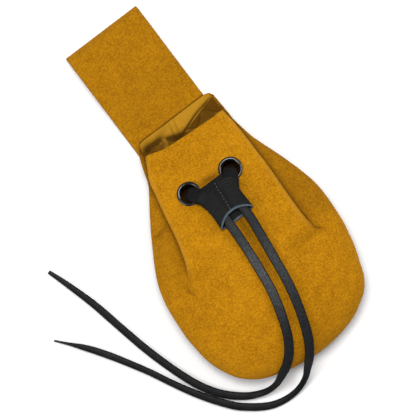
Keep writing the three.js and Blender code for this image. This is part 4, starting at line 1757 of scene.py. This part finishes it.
@dataclass
class BackPanel:
    """The bag's back: flat where it rests, then round up to the seam. Its inner face shows in the mouth."""

    form: BagForm
    stations: Stations = Stations.spaced(70, 84, 96)
    name: str = "back_panel_leather"
    columns: tuple[Column, ...] = columns_of(
        (Part.FLAT, 36, 0, 0.5),
        (Part.RISE, 36, 0.5, 1),
        (Part.TURN, 5, 1, 1),
        (Part.ALLOWANCE, 2, 1, 1),
    )
    mouth_wrinkles: tuple[Dent, ...] = (
        Dent(0.0118, 0.0475, -0.0016, 0.0016, 0.008, -14),
        Dent(0.0085, 0.0468, 0.0008, 0.0016, 0.007, -18),
        Dent(0.0148, 0.0455, 0.0006, 0.0018, 0.007, -8),
        Dent(0.027, 0.0478, -0.0005, 0.006, 0.0025, 12),
    )
    # Painted shadows in the mouth's hollows: under the bunched left fold, beside the wrinkle and along the
    # right layer's rim.
    mouth_shadows: tuple[Dent, ...] = (
        Dent(-0.0098, 0.0466, 1.1, 0.0055, 0.0036, 8),
        Dent(-0.004, 0.0458, 0.95, 0.008, 0.0026, 24),
        Dent(0.006, 0.0437, 1.0, 0.006, 0.0021, -20),
        Dent(0.037, 0.0477, 0.95, 0.0075, 0.0008, 11.5),
        Dent(0.0232, 0.0443, 0.95, 0.0085, 0.0008, 20),
        Dent(0.012, 0.0408, 0.8, 0.014, 0.0024, 0),
    )
    # Painted shade over the inner face below this line, deep inside the bag.
    dark_below: float = 0.041
    dark_fade: float = 0.005
    darkest_shade: float = 0.95
    wrinkled_from: float = 0.03
    wrinkled_run: float = 0.012
    deepest_wrinkle: float = 0.0003
    slack_height: float = 0.00012
    slack_length: float = 0.006
    slack_seed: int = 8
    flat_size: tuple[float, float] = (0.135, 0.18)
    flat_area: float = 0.0188

    def sheet(self) -> Sheet:
        """The back's middle, wrinkled at the mouth, with painted shade in the mouth and deeper inside.

        Returns:
            The sheet.
        """
        noise = SoftNoise(self.slack_seed)
        lines = []
        for column in self.columns:
            rays = self.stations.rays(self.form, BACK_RIM, column.across)
            points = placed(rays, *self.form.back_profile(rays, column.part, column.share))
            if column.part in (Part.FLAT, Part.RISE):
                near_mouth = smooth((points[:, 1] - self.wrinkled_from) / self.wrinkled_run)
                lowered = sum(dent.depth(points) for dent in self.mouth_wrinkles)
                points[:, 2] += near_mouth * np.maximum(-lowered, -self.deepest_wrinkle)
                points[:, 2] += self.slack_height * np.maximum(0, noise.at(points, self.slack_length))
            lines.append(points)
        points = np.stack(lines, axis=1)
        # Painted shade in the mouth's hollows and on the inner face below the mouth.
        shadows = sum(shadow.depth(points) for shadow in self.mouth_shadows)
        below = smooth((self.dark_below - points[..., 1]) / self.dark_fade)
        shadows = np.minimum(self.darkest_shade, shadows + below)
        return Sheet(points, {"wear_and_sheen": np.zeros(points.shape[:2]), "painted_shade": shadows})

    def build(self, suede: bpy.types.Material) -> bpy.types.Object:
        """Makes the panel. Its grid faces up, so the outer and inner faces change places.

        Args:
            suede: The panel's material.

        Returns:
            The panel.
        """
        piece = self.sheet().thickened(self.name, self.form.sizes.leather)
        paint(piece.data, "inside", 1 - painted(piece.data, "inside"))
        piece.data.materials.append(suede)
        hand_over(piece, "back_panel")
        return piece


@dataclass
class BeltLoop:
    """The wide strap, folded over at the top, with both ends behind the back panel."""

    sizes: PouchSizes
    name: str = "belt_loop_leather"
    width: float = 0.057
    centre_x: float = 0.0115
    opening: float = 0.0062
    # Painted shade that dims the whole strap.
    strap_shade: float = 0.19
    shade_start: float = -0.0135
    shade_width: float = 0.0015
    shade_below: float = 0.004
    darkest: float = 0.95
    edge_wear: float = 0.25
    edge_share: float = 0.015
    fold_wear: float = 0.3
    worn_fold: float = 0.004
    front_share: float = 0.96
    # How far before the fold's place the rear layer ends, and the two points that pull the fold's curve.
    rear_stop: float = 0.0024
    fold_low: tuple[float, float] = (0.0002, 0.0009)
    fold_high: tuple[float, float] = (0.0012, 0.0046)
    # Height and length of the front layer's waves, and the level from which they start.
    waves: tuple[tuple[float, float], ...] = ((0.00035, 0.02), (0.00012, 0.007))
    wave_level: float = 0.0036
    wave_run: float = 0.003
    side_wave: tuple[float, float] = (0.0002, 0.03)
    # The two rows of stitches, by how far each is from the rear end.
    rows: tuple[float, ...] = (0.005, 0.011)
    row_margin: float = 0.004
    row_height: float = 0.00015
    row_points: int = 30
    noise_seed: int = 21
    across_steps: int = 56
    length_steps: int = 180
    fold_steps: int = 22

    def side_line(self) -> Array:
        """The strap's middle from the side, as (y, z) from the rear end round the fold to the front end.

        Returns:
            The points.
        """
        s = self.sizes
        wall = s.loop_leather
        share = np.linspace(0, self.front_share, self.length_steps + 1)
        lift = s.piece_gap + self.opening * np.maximum(0, LOOP_SIDE.read("rise", share))
        front = np.stack([mix(s.loop_end, s.fold_y, share), 1.5 * wall + lift], axis=-1)
        rear_y = np.linspace(s.loop_end, s.fold_y - self.rear_stop, self.length_steps + 1)
        rear = np.stack([rear_y, np.full_like(rear_y, wall / 2)], axis=-1)
        a, d = rear[-1], front[-1]
        b, c = (np.array([s.fold_y - back, height]) for back, height in (self.fold_low, self.fold_high))
        t = np.linspace(0, 1, self.fold_steps + 1)[1:-1, None]
        fold = (1 - t) ** 3 * a + 3 * (1 - t) ** 2 * t * b + 3 * (1 - t) * t**2 * c + t**3 * d
        return np.concatenate([rear, fold, front[::-1]])

    def sheet(self) -> Sheet:
        """The strap's middle with a slightly uneven front, its wear and its painted shade.

        Returns:
            The sheet.
        """
        noise = SoftNoise(self.noise_seed)
        line = self.side_line()
        across = np.linspace(0.5, -0.5, self.across_steps + 1)
        x = self.centre_x + across * self.width
        grid = np.zeros((len(line), len(x), 3))
        grid[..., 0] = x[None, :]
        grid[..., 1] = line[:, 0, None]
        grid[..., 2] = line[:, 1, None]
        upper = smooth((grid[..., 2] - self.wave_level) / self.wave_run)
        grid[..., 2] += upper * sum(height * noise.at(grid, length) for height, length in self.waves)
        sideways, length = self.side_wave
        grid[..., 0] += sideways * noise.at(grid + 0.3, length)
        near_edge = smooth((np.abs(across) - 0.5 + self.edge_share) / self.edge_share)
        near_fold = smooth((grid[..., 1] - self.sizes.fold_y + self.worn_fold) / self.worn_fold)
        wear_and_sheen = np.maximum(self.edge_wear * near_edge, self.fold_wear * near_fold)
        # Painted shadow: the back panel's top edge leaves a dark line across the strap.
        above = grid[..., 1] - self.sizes.mouth_y
        under_edge = self.darkest * np.exp(-((np.maximum(above, 0) / self.shade_width) ** 2))
        under_edge *= above > -self.shade_below
        under_edge *= smooth((grid[..., 0] - self.shade_start) / self.shade_width)
        return Sheet(grid, {"wear_and_sheen": wear_and_sheen, "painted_shade": np.maximum(self.strap_shade, under_edge)})

    def build(self, suede: bpy.types.Material) -> bpy.types.Object:
        """Makes the strap.

        Args:
            suede: The strap's material.

        Returns:
            The strap.
        """
        piece = self.sheet().thickened(self.name, self.sizes.loop_leather)
        piece.data.materials.append(suede)
        hand_over(piece, "belt_loop")
        return piece

    def sew(self, thread: bpy.types.Material) -> None:
        """Sews the two rows across the strap's rear end, seen from behind.

        Args:
            thread: The thread's material.
        """
        half = self.width / 2 - self.row_margin
        across = np.linspace(-half, half, self.row_points) + self.centre_x
        lines = []
        for inset in self.rows:
            lines.append([(x, self.sizes.loop_end + inset, self.row_height) for x in across])
        Stitching("loop_rows_thread", thread, Slot.SUEDE, 0.0026, 0.00025, 0.0036).sew(lines)


@dataclass
class Eyelet:
    """A black eyelet turned about its hole, with a domed flange on the leather."""

    name: str
    seat: EyeletSeat
    sizes: PouchSizes
    outer: float = 0.008
    grip_slack: float = 0.0004
    flange: float = 0.0008
    bevel: float = 0.0002
    lip: float = 0.0003
    curl_back: float = 0.0006
    dome_tilt: float = 42
    dome_points: int = 15
    turns: int = 96

    def profile(self) -> Array:
        """The eyelet's wall, from the domed flange down outside and up the hole.

        Returns:
            The radius and height of each point.
        """
        hole, barrel = self.sizes.eyelet_hole, self.sizes.eyelet_barrel
        grip = self.sizes.leather / 2 + self.grip_slack
        foot = grip + self.sizes.eyelet_wall
        tilt = math.radians(self.dome_tilt)
        angle = np.linspace(-tilt, tilt, self.dome_points)
        curve = (self.outer - hole - self.bevel) / 2 / math.sin(tilt)
        height = grip + self.flange - curve * (1 - np.cos(angle))
        dome = np.stack([(hole + self.bevel + self.outer) / 2 + curve * np.sin(angle), height], axis=-1)
        rolled = self.outer - self.curl_back
        below = [
            (self.outer, grip),
            (barrel + self.bevel, grip),
            (barrel, grip - self.bevel),
            (barrel, -grip),
            (rolled, -grip),
            (rolled + self.bevel, -grip - self.bevel),
            (rolled + self.bevel, -foot + self.bevel),
            (rolled, -foot),
            (hole + self.lip, -foot),
            (hole, -foot + self.lip),
            (hole, grip * 0.4),
        ]
        return np.concatenate([dome, below])

    def build(self, metal: bpy.types.Material) -> bpy.types.Object:
        """Makes the eyelet.

        Args:
            metal: The eyelet's material.

        Returns:
            The eyelet.
        """
        profile = self.profile()
        angle = np.linspace(0, 2 * np.pi, self.turns, endpoint=False)
        ring = np.stack([np.cos(angle), np.sin(angle)], axis=-1)
        points = np.zeros((len(profile), self.turns, 3))
        points[..., :2] = ring[None] * profile[:, 0, None, None]
        points[..., 2] = profile[:, 1, None]
        polygons = []
        rows = len(profile)
        for row in range(rows):
            below = (row + 1) % rows
            for step in range(self.turns):
                ahead = (step + 1) % self.turns
                corners = (row, step), (below, step), (below, ahead), (row, ahead)
                polygons.append([r * self.turns + k for r, k in corners])
        mesh = bpy.data.meshes.new(self.name)
        mesh.from_pydata(self.seat.put(points).reshape(-1, 3).tolist(), [], polygons)
        piece = finished(f"{self.name}_ring", mesh)
        piece.data.materials.append(metal)
        hand_over(piece, self.name)
        return piece


@dataclass
class Slider:
    """The folded leather slide: a sleeve over both laces, with an arm along each lace into its eyelet."""

    form: BagForm
    name: str = "slider_sleeve"
    width: float = 0.026
    length: float = 0.031
    height: float = 0.0074
    centre_x: float = 0.0093
    bottom_y: float = -0.025
    arch: float = 0.0062
    corner: float = 0.0026
    wall: float = 0.0013
    arm_width: float = 0.0126
    arm_tip_width: float = 0.0094
    arm_height: float = 0.006
    lace_spacing: float = 0.0134
    rise: float = 0.0006
    crossing_height: float = 0.0172
    seam_top: float = 0.002
    sides: int = 96
    rows: int = 64
    voxel: float = 0.00034
    arm_steps: int = 28
    cavity_depth: float = 0.012
    # The grooves between the channels, as depth and width, in front and behind.
    front_groove: tuple[float, float] = (0.0011, 0.0022)
    rear_groove: tuple[float, float] = (0.0003, 0.003)
    # The cross wrinkles: their height, how far apart they are, how much they bow and how uneven they are.
    wrinkle: float = 0.0002
    wrinkle_pitch: float = 0.0015
    wrinkle_bow: float = 0.0018
    wrinkle_stray: float = 0.0009
    unevenness: float = 0.00015
    noise_seed: int = 33
    seam_margin: float = 0.0025
    seam_offset: float = 0.0016
    seam_slant: float = 0.09
    seam_points: int = 24
    cut_width: float = 0.0013
    cut_fade: float = 0.0004

    @property
    def seat_height(self) -> float:
        """Height of the sleeve's middle over the middle of the flap's leather."""
        s = self.form.sizes
        return s.leather / 2 + s.piece_gap + self.height / 2 + self.rise

    @property
    def top_y(self) -> float:
        """Where the sleeve would end at the top."""
        return self.bottom_y + self.length

    @property
    def mouth_height(self) -> float:
        """Height of the sleeve's middle at its lower mouth."""
        return self.form.flap_height(self.centre_x, self.bottom_y) + self.seat_height

    def held_stretch(self, side: int, seat: EyeletSeat) -> list[Array]:
        """Points of the lace from the slider's lower end into an eyelet.

        Args:
            side: -1 for left, 1 for right.
            seat: The eyelet's seat.

        Returns:
            The points.
        """
        channel = self.centre_x + side * self.lace_spacing / 2

        def on(x: float, y: float, rise: float) -> Array:
            """A point in the sleeve's middle over a place on the flap, with a further rise."""
            return np.array([x, y, self.form.flap_height(x, y) + self.seat_height + rise])

        centre, axis = seat.centre, seat.axis
        return [
            on(channel, self.bottom_y + 0.003, 0),
            on(channel, self.bottom_y + 0.012, 0),
            on(channel + side * 0.0002, self.top_y - 0.0125, 0),
            on(centre[0] - side * 0.0066, centre[1] - 0.0079, 0.0004),
            on(centre[0] - side * 0.004, centre[1] - 0.0051, 0.0002),
            centre + np.array([-side * 0.001, -0.0014, 0]) + axis * 0.0024,
            centre - axis * 0.002,
            centre - axis * 0.006 - np.array([side * 0.0008, 0, 0]),
        ]

    def held_points(self) -> Array:
        """Points of the whole held stretch, through both eyelets.

        Returns:
            The points.
        """
        left_seat, right_seat = self.form.seats["eyelet_left"], self.form.seats["eyelet_right"]
        left = self.held_stretch(-1, left_seat)
        right = self.held_stretch(1, right_seat)
        crossing = []
        for share in (0.28, 0.72):
            point = mix(left_seat.centre, right_seat.centre, share)
            point[2] = self.crossing_height
            crossing.append(point)
        return np.array([*left, *crossing, *right[::-1]])

    def _shell_rings(self, inset: float, low: float, high: float) -> Array:
        """Rings of the sleeve's cross-section.

        Args:
            inset: How far inside the outer surface.
            low: Where the first ring is, along Y.
            high: Where the last ring is.

        Returns:
            The rings.
        """
        rings = []
        for y in np.linspace(low, high, self.rows + 1):
            share = np.clip((y - self.bottom_y) / (self.length - 0.001), 0, 1)
            hollow = 0.04 * math.sin(math.pi * min(1, share * 1.3))
            waist = 1 - hollow - 0.32 * smooth((share - 0.6) / 0.4)
            tall = self.height * (1 - 0.16 * smooth((share - 0.7) / 0.3)) - 2 * inset
            wide = self.width * waist - 2 * inset
            if inset == 0:
                into = self.corner - min(self.corner, y - low)
                wide -= 2 * (self.corner - math.sqrt(self.corner**2 - into**2))
            angle = np.linspace(0, 2 * np.pi, self.sides, endpoint=False)
            x = np.sign(np.cos(angle)) * np.abs(np.cos(angle)) ** 0.62 * wide / 2
            grooves = (self.front_groove, self.rear_groove)
            front, rear = (deep * np.exp(-((x / span) ** 2)) for deep, span in grooves)
            groove = np.where(np.sin(angle) > 0, front, rear)
            lift = np.abs(np.sin(angle)) ** 0.55 * tall / 2 - groove
            z = self.form.flap_height(self.centre_x, y) + self.seat_height + np.sign(np.sin(angle)) * lift
            rings.append(np.stack([self.centre_x + x, np.full_like(x, y), z], axis=-1))
        return np.array(rings)[:, ::-1]

    def _arm(self, stretch: list[Array], name: str) -> bpy.types.Object:
        """An arm along one lace into its eyelet.

        Args:
            stretch: Points of the held stretch.
            name: The arm's name.

        Returns:
            The arm.
        """
        route = Route(np.array(stretch[2:7]))
        points, directions = route.even(self.arm_steps)
        sides = route.sides(directions, False, np.array([1.0, 0, 0]))
        share = np.linspace(0, 1, self.arm_steps + 1)
        wide = mix(self.arm_width, self.arm_tip_width, smooth(share * 1.25))
        thick = self.arm_height * (1 - 0.15 * share)
        lace = LaceSizes(corners=28, flatness=0.7)
        return swept(name, lace.rings(points, sides, directions, wide, thick))

    def build(self, leather: bpy.types.Material) -> bpy.types.Object:
        """Makes the slider as one skin, then opens its lower mouth and paints its cut edges.

        Args:
            leather: The slider's material.

        Returns:
            The slider.
        """
        sleeve = swept("slider_body", self._shell_rings(0, self.bottom_y - 0.0004, self.top_y - 0.001))
        arms = [
            self._arm(self.held_stretch(side, self.form.seats[f"eyelet_{end}"]), f"slider_arm_{end}")
            for side, end in ((-1, "left"), (1, "right"))
        ]
        body = together(self.name, [sleeve, *arms])
        skin = body.modifiers.new("skin", "REMESH")
        skin.mode = "VOXEL"
        skin.voxel_size = self.voxel
        soft = body.modifiers.new("soft", "SMOOTH")
        soft.iterations = 5
        soft.factor = 0.5
        settle(body)
        self._wrinkle(body)
        inner = self._shell_rings(self.wall, self.bottom_y - 0.004, self.bottom_y + self.cavity_depth)
        cutters = (swept("slider_cavity", inner), self._lip_cutter())
        for cutter in cutters:
            opened = body.modifiers.new("mouth", "BOOLEAN")
            opened.object = cutter
            opened.operation = "DIFFERENCE"
            opened.solver = "MANIFOLD"
        settle(body)
        for cutter in cutters:
            bpy.data.objects.remove(cutter)
        self._paint_edges(body)
        body.data.materials.clear()
        body.data.materials.append(leather)
        body.data.polygons.foreach_set("use_smooth", [True] * len(body.data.polygons))
        hand_over(body, "slider")
        return body

    def _front_edge(self, x: Array) -> Array:
        """Where the sleeve's arched front ends, along Y, over a place across it."""
        share = np.clip(np.abs(x - self.centre_x) / (self.width / 2), 0, 1)
        return self.bottom_y + self.arch * (1 - share**2.2)

    def _lip_cutter(self) -> bpy.types.Object:
        """The block that leaves an arched front lip over the straight rear one.

        Returns:
            The block.
        """
        x = np.linspace(-0.62, 0.62, 49) * self.width + self.centre_x
        below = self.bottom_y - 0.01
        outline = [*zip(x, self._front_edge(x)), (x[-1], below), (x[0], below)]
        levels = (self.mouth_height - 0.0004, self.mouth_height + self.height)
        rings = np.array([[(a, b, z) for a, b in outline] for z in levels])
        return swept("slider_lip", rings[:, ::-1])

    def _wrinkle(self, body: bpy.types.Object) -> None:
        """Presses fine cross wrinkles into the front of each channel.

        Args:
            body: The slider.
        """
        mesh = body.data
        points, normals = vectors_of(mesh, "co"), vectors_of(mesh, "normal")
        uneven = SoftNoise(self.noise_seed).at(points, 0.0035)
        lift = self.wrinkle * self._ridges(points) + self.unevenness * uneven
        mesh.vertices.foreach_set("co", (points + normals * lift[:, None]).ravel())
        mesh.update()

    def _ridges(self, points: Array) -> Array:
        """The cross wrinkles, from -1 in a groove to 1 on a ridge.

        Args:
            points: Points of the slider.

        Returns:
            The ridges.
        """
        noise = SoftNoise(self.noise_seed)
        x, y = points[:, 0] - self.centre_x, points[:, 1]
        bow = self.wrinkle_bow * np.abs(np.abs(x) / 0.006 - 1)
        stray = self.wrinkle_stray * noise.at(points, 0.0045)
        wave = np.sin((y + bow + stray) / self.wrinkle_pitch * 2 * np.pi)
        fade = smooth((np.abs(x) - 0.002) / 0.003) * smooth((y - self.bottom_y - 0.003) / 0.003)
        fade *= 1 - smooth((y - (self.top_y - 0.006)) / 0.004)
        return wave * fade * np.clip(0.45 + 0.8 * noise.at(points, 0.004), 0, 1)

    def _paint_edges(self, body: bpy.types.Object) -> None:
        """Marks the cut edge round the lower mouth, and the wrinkles' ridges for their painted highlight.

        Args:
            body: The slider.
        """
        points = vectors_of(body.data, "co")
        front = points[:, 2] > self.mouth_height - 0.0005
        edge = np.where(front, self._front_edge(points[:, 0]), self.bottom_y - 0.0004)
        paint(body.data, "cut", 1 - smooth((points[:, 1] - edge - self.cut_width) / self.cut_fade))
        # The wrinkles' ridges get a painted highlight, on the front only.
        paint(body.data, "ridge_highlight", np.maximum(0, self._ridges(points)) * front)

    def sew(self, body: bpy.types.Object, thread: bpy.types.Material) -> None:
        """Sews the slanted seam down the middle of the sleeve's front.

        Args:
            body: The slider.
            thread: The thread's material.
        """
        line = []
        for y in np.linspace(self.bottom_y + self.arch + self.seam_margin, self.seam_top, self.seam_points):
            slant = self.seam_slant * (y - self.seam_top)
            x = self.centre_x + self.seam_offset + slant + 0.0002 * math.sin(y * 900)
            hit, place, _, _ = body.ray_cast((x, y, 0.1), (0, 0, -1))
            if hit:
                line.append(tuple(place))
        Stitching("slider_seam_thread", thread, Slot.SLIDER, 0.0014, 0.00021, 0.0023).sew([line])


@dataclass
class Drawstring:
    """The held lace, from the slider through one eyelet, across inside the bag and out of the other."""

    slider: Slider
    name: str = "drawstring_lace"
    lace: LaceSizes = field(default_factory=LaceSizes)
    steps: int = 150
    start_inside: float = 0.0045

    def build(self, leather: bpy.types.Material) -> bpy.types.Object:
        """Makes the held stretch.

        Args:
            leather: The lace's material.

        Returns:
            The held stretch.
        """
        chosen = self.slider.held_points()
        for end in (0, -1):
            chosen[end] += np.array([0, self.start_inside, 0])
        route = Route(chosen)
        points, directions = route.even(self.steps)
        sides = route.sides(directions, False, np.array([1.0, 0, 0]))
        same = np.ones(len(points))
        wide, thick = self.lace.width * same, self.lace.thickness * same
        piece = swept(self.name, self.lace.rings(points, sides, directions, wide, thick))
        piece.data.materials.append(leather)
        hand_over(piece, "drawstring")
        return piece


@dataclass
class Stitching:
    """Stitches along lines, made by Geometry Nodes."""

    name: str
    thread: bpy.types.Material
    slot: Slot
    stitch_length: float
    thread_radius: float
    stitch_step: float
    segments: int = 8
    rings: int = 6

    def _tree(self) -> bpy.types.NodeTree:
        """The tree: stitches at even steps along each edge line, turned along it.

        Returns:
            The tree.
        """
        tree = bpy.data.node_groups.new(f"{self.name}_stitches", "GeometryNodeTree")
        face = tree.interface
        face.new_socket("Geometry", in_out="INPUT", socket_type="NodeSocketGeometry")
        for title in ("Stitch length", "Thread radius", "Stitch step"):
            face.new_socket(title, in_out="INPUT", socket_type="NodeSocketFloat")
        face.new_socket("Thread", in_out="INPUT", socket_type="NodeSocketMaterial")
        face.new_socket("Geometry", in_out="OUTPUT", socket_type="NodeSocketGeometry")
        start = tree.nodes.new("NodeGroupInput")
        end = tree.nodes.new("NodeGroupOutput")
        line = tree.nodes.new("GeometryNodeMeshToCurve")
        even = tree.nodes.new("GeometryNodeResampleCurve")
        if hasattr(even, "mode"):
            even.mode = "LENGTH"
        tangent = tree.nodes.new("GeometryNodeInputTangent")
        turn = tree.nodes.new("FunctionNodeAlignRotationToVector")
        turn.axis = "Z"
        stitch = tree.nodes.new("GeometryNodeMeshUVSphere")
        stitch.inputs["Segments"].default_value = self.segments
        stitch.inputs["Rings"].default_value = self.rings
        size = tree.nodes.new("ShaderNodeCombineXYZ")
        shape = tree.nodes.new("GeometryNodeTransform")
        copies = tree.nodes.new("GeometryNodeInstanceOnPoints")
        real = tree.nodes.new("GeometryNodeRealizeInstances")
        soft = tree.nodes.new("GeometryNodeSetShadeSmooth")
        dressed = tree.nodes.new("GeometryNodeSetMaterial")
        for giver, output, taker, entry in (
            (start, "Geometry", line, "Mesh"),
            (line, "Curve", even, "Curve"),
            (start, "Stitch step", even, "Length"),
            (even, "Curve", copies, "Points"),
            (tangent, "Tangent", turn, "Vector"),
            (turn, "Rotation", copies, "Rotation"),
            (start, "Thread radius", size, "X"),
            (start, "Thread radius", size, "Y"),
            (start, "Stitch length", size, "Z"),
            (stitch, "Mesh", shape, "Geometry"),
            (size, "Vector", shape, "Scale"),
            (shape, "Geometry", copies, "Instance"),
            (copies, "Instances", real, "Geometry"),
            (real, "Geometry", soft, "Geometry"),
            (soft, "Geometry", dressed, "Geometry"),
            (start, "Thread", dressed, "Material"),
            (dressed, "Geometry", end, "Geometry"),
        ):
            tree.links.new(giver.outputs[output], taker.inputs[entry])
        return tree

    def sew(self, lines: list) -> bpy.types.Object:
        """Sews along lines.

        Args:
            lines: Each line's points.

        Returns:
            The stitches as one mesh.
        """
        tree = self._tree()
        vertices, edges = [], []
        for line in lines:
            first = len(vertices)
            vertices += [tuple(point) for point in line]
            edges += [(first + k, first + k + 1) for k in range(len(line) - 1)]
        mesh = bpy.data.meshes.new(self.name)
        mesh.from_pydata(vertices, edges, [])
        piece = bpy.data.objects.new(self.name, mesh)
        bpy.context.scene.collection.objects.link(piece)
        modifier = piece.modifiers.new("stitches", "NODES")
        modifier.node_group = tree
        inputs = {item.name: item.identifier for item in tree.interface.items_tree if item.in_out == "INPUT"}
        modifier[inputs["Stitch length"]] = self.stitch_length / 2
        modifier[inputs["Thread radius"]] = self.thread_radius
        modifier[inputs["Stitch step"]] = self.stitch_step
        modifier[inputs["Thread"]] = self.thread
        settle(piece)
        hand_over(piece, None)
        return piece


@dataclass
class Studio:
    """The pale floor, the soft lights and the camera."""

    pixels: int = 416
    pixel_size: float = 0.00065
    centre: tuple[float, float] = (-0.002, -0.0077)
    turn_degrees: float = -37.2
    camera_height: float = 3.0
    aim_height: float = 0.018
    sensor: float = 0.036
    floor_drop: float = 0.0002
    floor_size: float = 6.0
    floor_tone: float = 0.97
    sky_strength: float = 0.3
    # Each soft light's name, place, size and power.
    softboxes: tuple[tuple, ...] = (
        ("overhead_light", (0.1, 0.3, 1.4), 0.5, 12.0),
        ("left_light", (-1.2, 0.3, 1.2), 0.8, 11.5),
        ("right_light", (1.2, 0.0, 1.2), 0.8, 11.0),
    )

    def camera(self) -> None:
        """A long lens straight above the pouch, turned as the photograph is."""
        data = bpy.data.cameras.new("camera")
        data.sensor_width = self.sensor * 1000
        width = self.pixels * self.pixel_size
        distance = self.camera_height - self.aim_height
        data.lens = self.sensor * 1000 * distance / width
        data.clip_end = 20
        camera = bpy.data.objects.new("camera", data)
        camera.location = (*self.centre, self.camera_height)
        camera.rotation_euler = (0, 0, math.radians(self.turn_degrees))
        bpy.context.scene.collection.objects.link(camera)
        bpy.context.scene.camera = camera

    def floor(self) -> None:
        """A plain pale floor."""
        half = self.floor_size / 2
        corners = [(-half, -half), (half, -half), (half, half), (-half, half)]
        mesh = bpy.data.meshes.new("floor")
        mesh.from_pydata([(x, y, -self.floor_drop) for x, y in corners], [], [(0, 1, 2, 3)])
        floor = bpy.data.objects.new("floor", mesh)
        bpy.context.scene.collection.objects.link(floor)
        finish = Finish("pale_floor")
        finish.constant(Base_Color=shade((self.floor_tone,) * 3), Roughness=0.9, Specular_IOR_Level=0.1)
        mesh.materials.append(finish.material)

    def lights(self) -> None:
        """Softboxes round the pouch and a pale sky."""
        world = bpy.data.worlds.new("studio")
        world.use_nodes = True
        background = world.node_tree.nodes["Background"]
        background.inputs["Color"].default_value = (1, 1, 1, 1)
        background.inputs["Strength"].default_value = self.sky_strength
        bpy.context.scene.world = world
        for softbox in self.softboxes:
            self._softbox(*softbox)
        bpy.context.scene.view_settings.view_transform = "Standard"

    def _softbox(self, name: str, place: tuple[float, float, float], size: float, power: float) -> None:
        """A square light that faces the pouch.

        Args:
            name: The light's name.
            place: Where it stands.
            size: How wide it is.
            power: Its power in watts.
        """
        data = bpy.data.lights.new(name, "AREA")
        data.size = size
        data.energy = power
        light = bpy.data.objects.new(name, data)
        light.location = place
        light.rotation_euler = (-Vector(place)).to_track_quat("-Z", "Y").to_euler()
        light.visible_camera = False
        bpy.context.scene.collection.objects.link(light)


def main() -> None:
    """Builds the pouch in its studio, one sub-assembly after another."""
    logging.basicConfig(level=logging.INFO, format="%(message)s")
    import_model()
    studio = Studio()
    studio.camera()
    lace = LaceFinish().build()
    LaceTail("lace_left", LEFT_TAIL, LEFT_WIDTHS).build(lace)
    LaceTail("lace_right", RIGHT_TAIL, RIGHT_WIDTHS).build(lace)
    form = BagForm(SIZES, {"eyelet_left": (-0.0062, 0.0068), "eyelet_right": (0.0248, 0.0035)})
    suede = SuedeFinish().build()
    FrontPanel(form).build(suede)
    BackPanel(form).build(suede)
    loop = BeltLoop(SIZES)
    loop.build(suede)
    loop.sew(ThreadFinish("ochre_thread", (0.3, 0.14, 0.01)).build())
    metal = MetalFinish().build()
    for name, seat in form.seats.items():
        Eyelet(name, seat, SIZES).build(metal)
    slider = Slider(form)
    body = slider.build(SliderFinish().build())
    Drawstring(slider).build(lace)
    slider.sew(body, ThreadFinish("grey_thread", (0.1, 0.105, 0.11)).build())
    studio.floor()
    studio.lights()


if __name__ == "__main__":
    main()
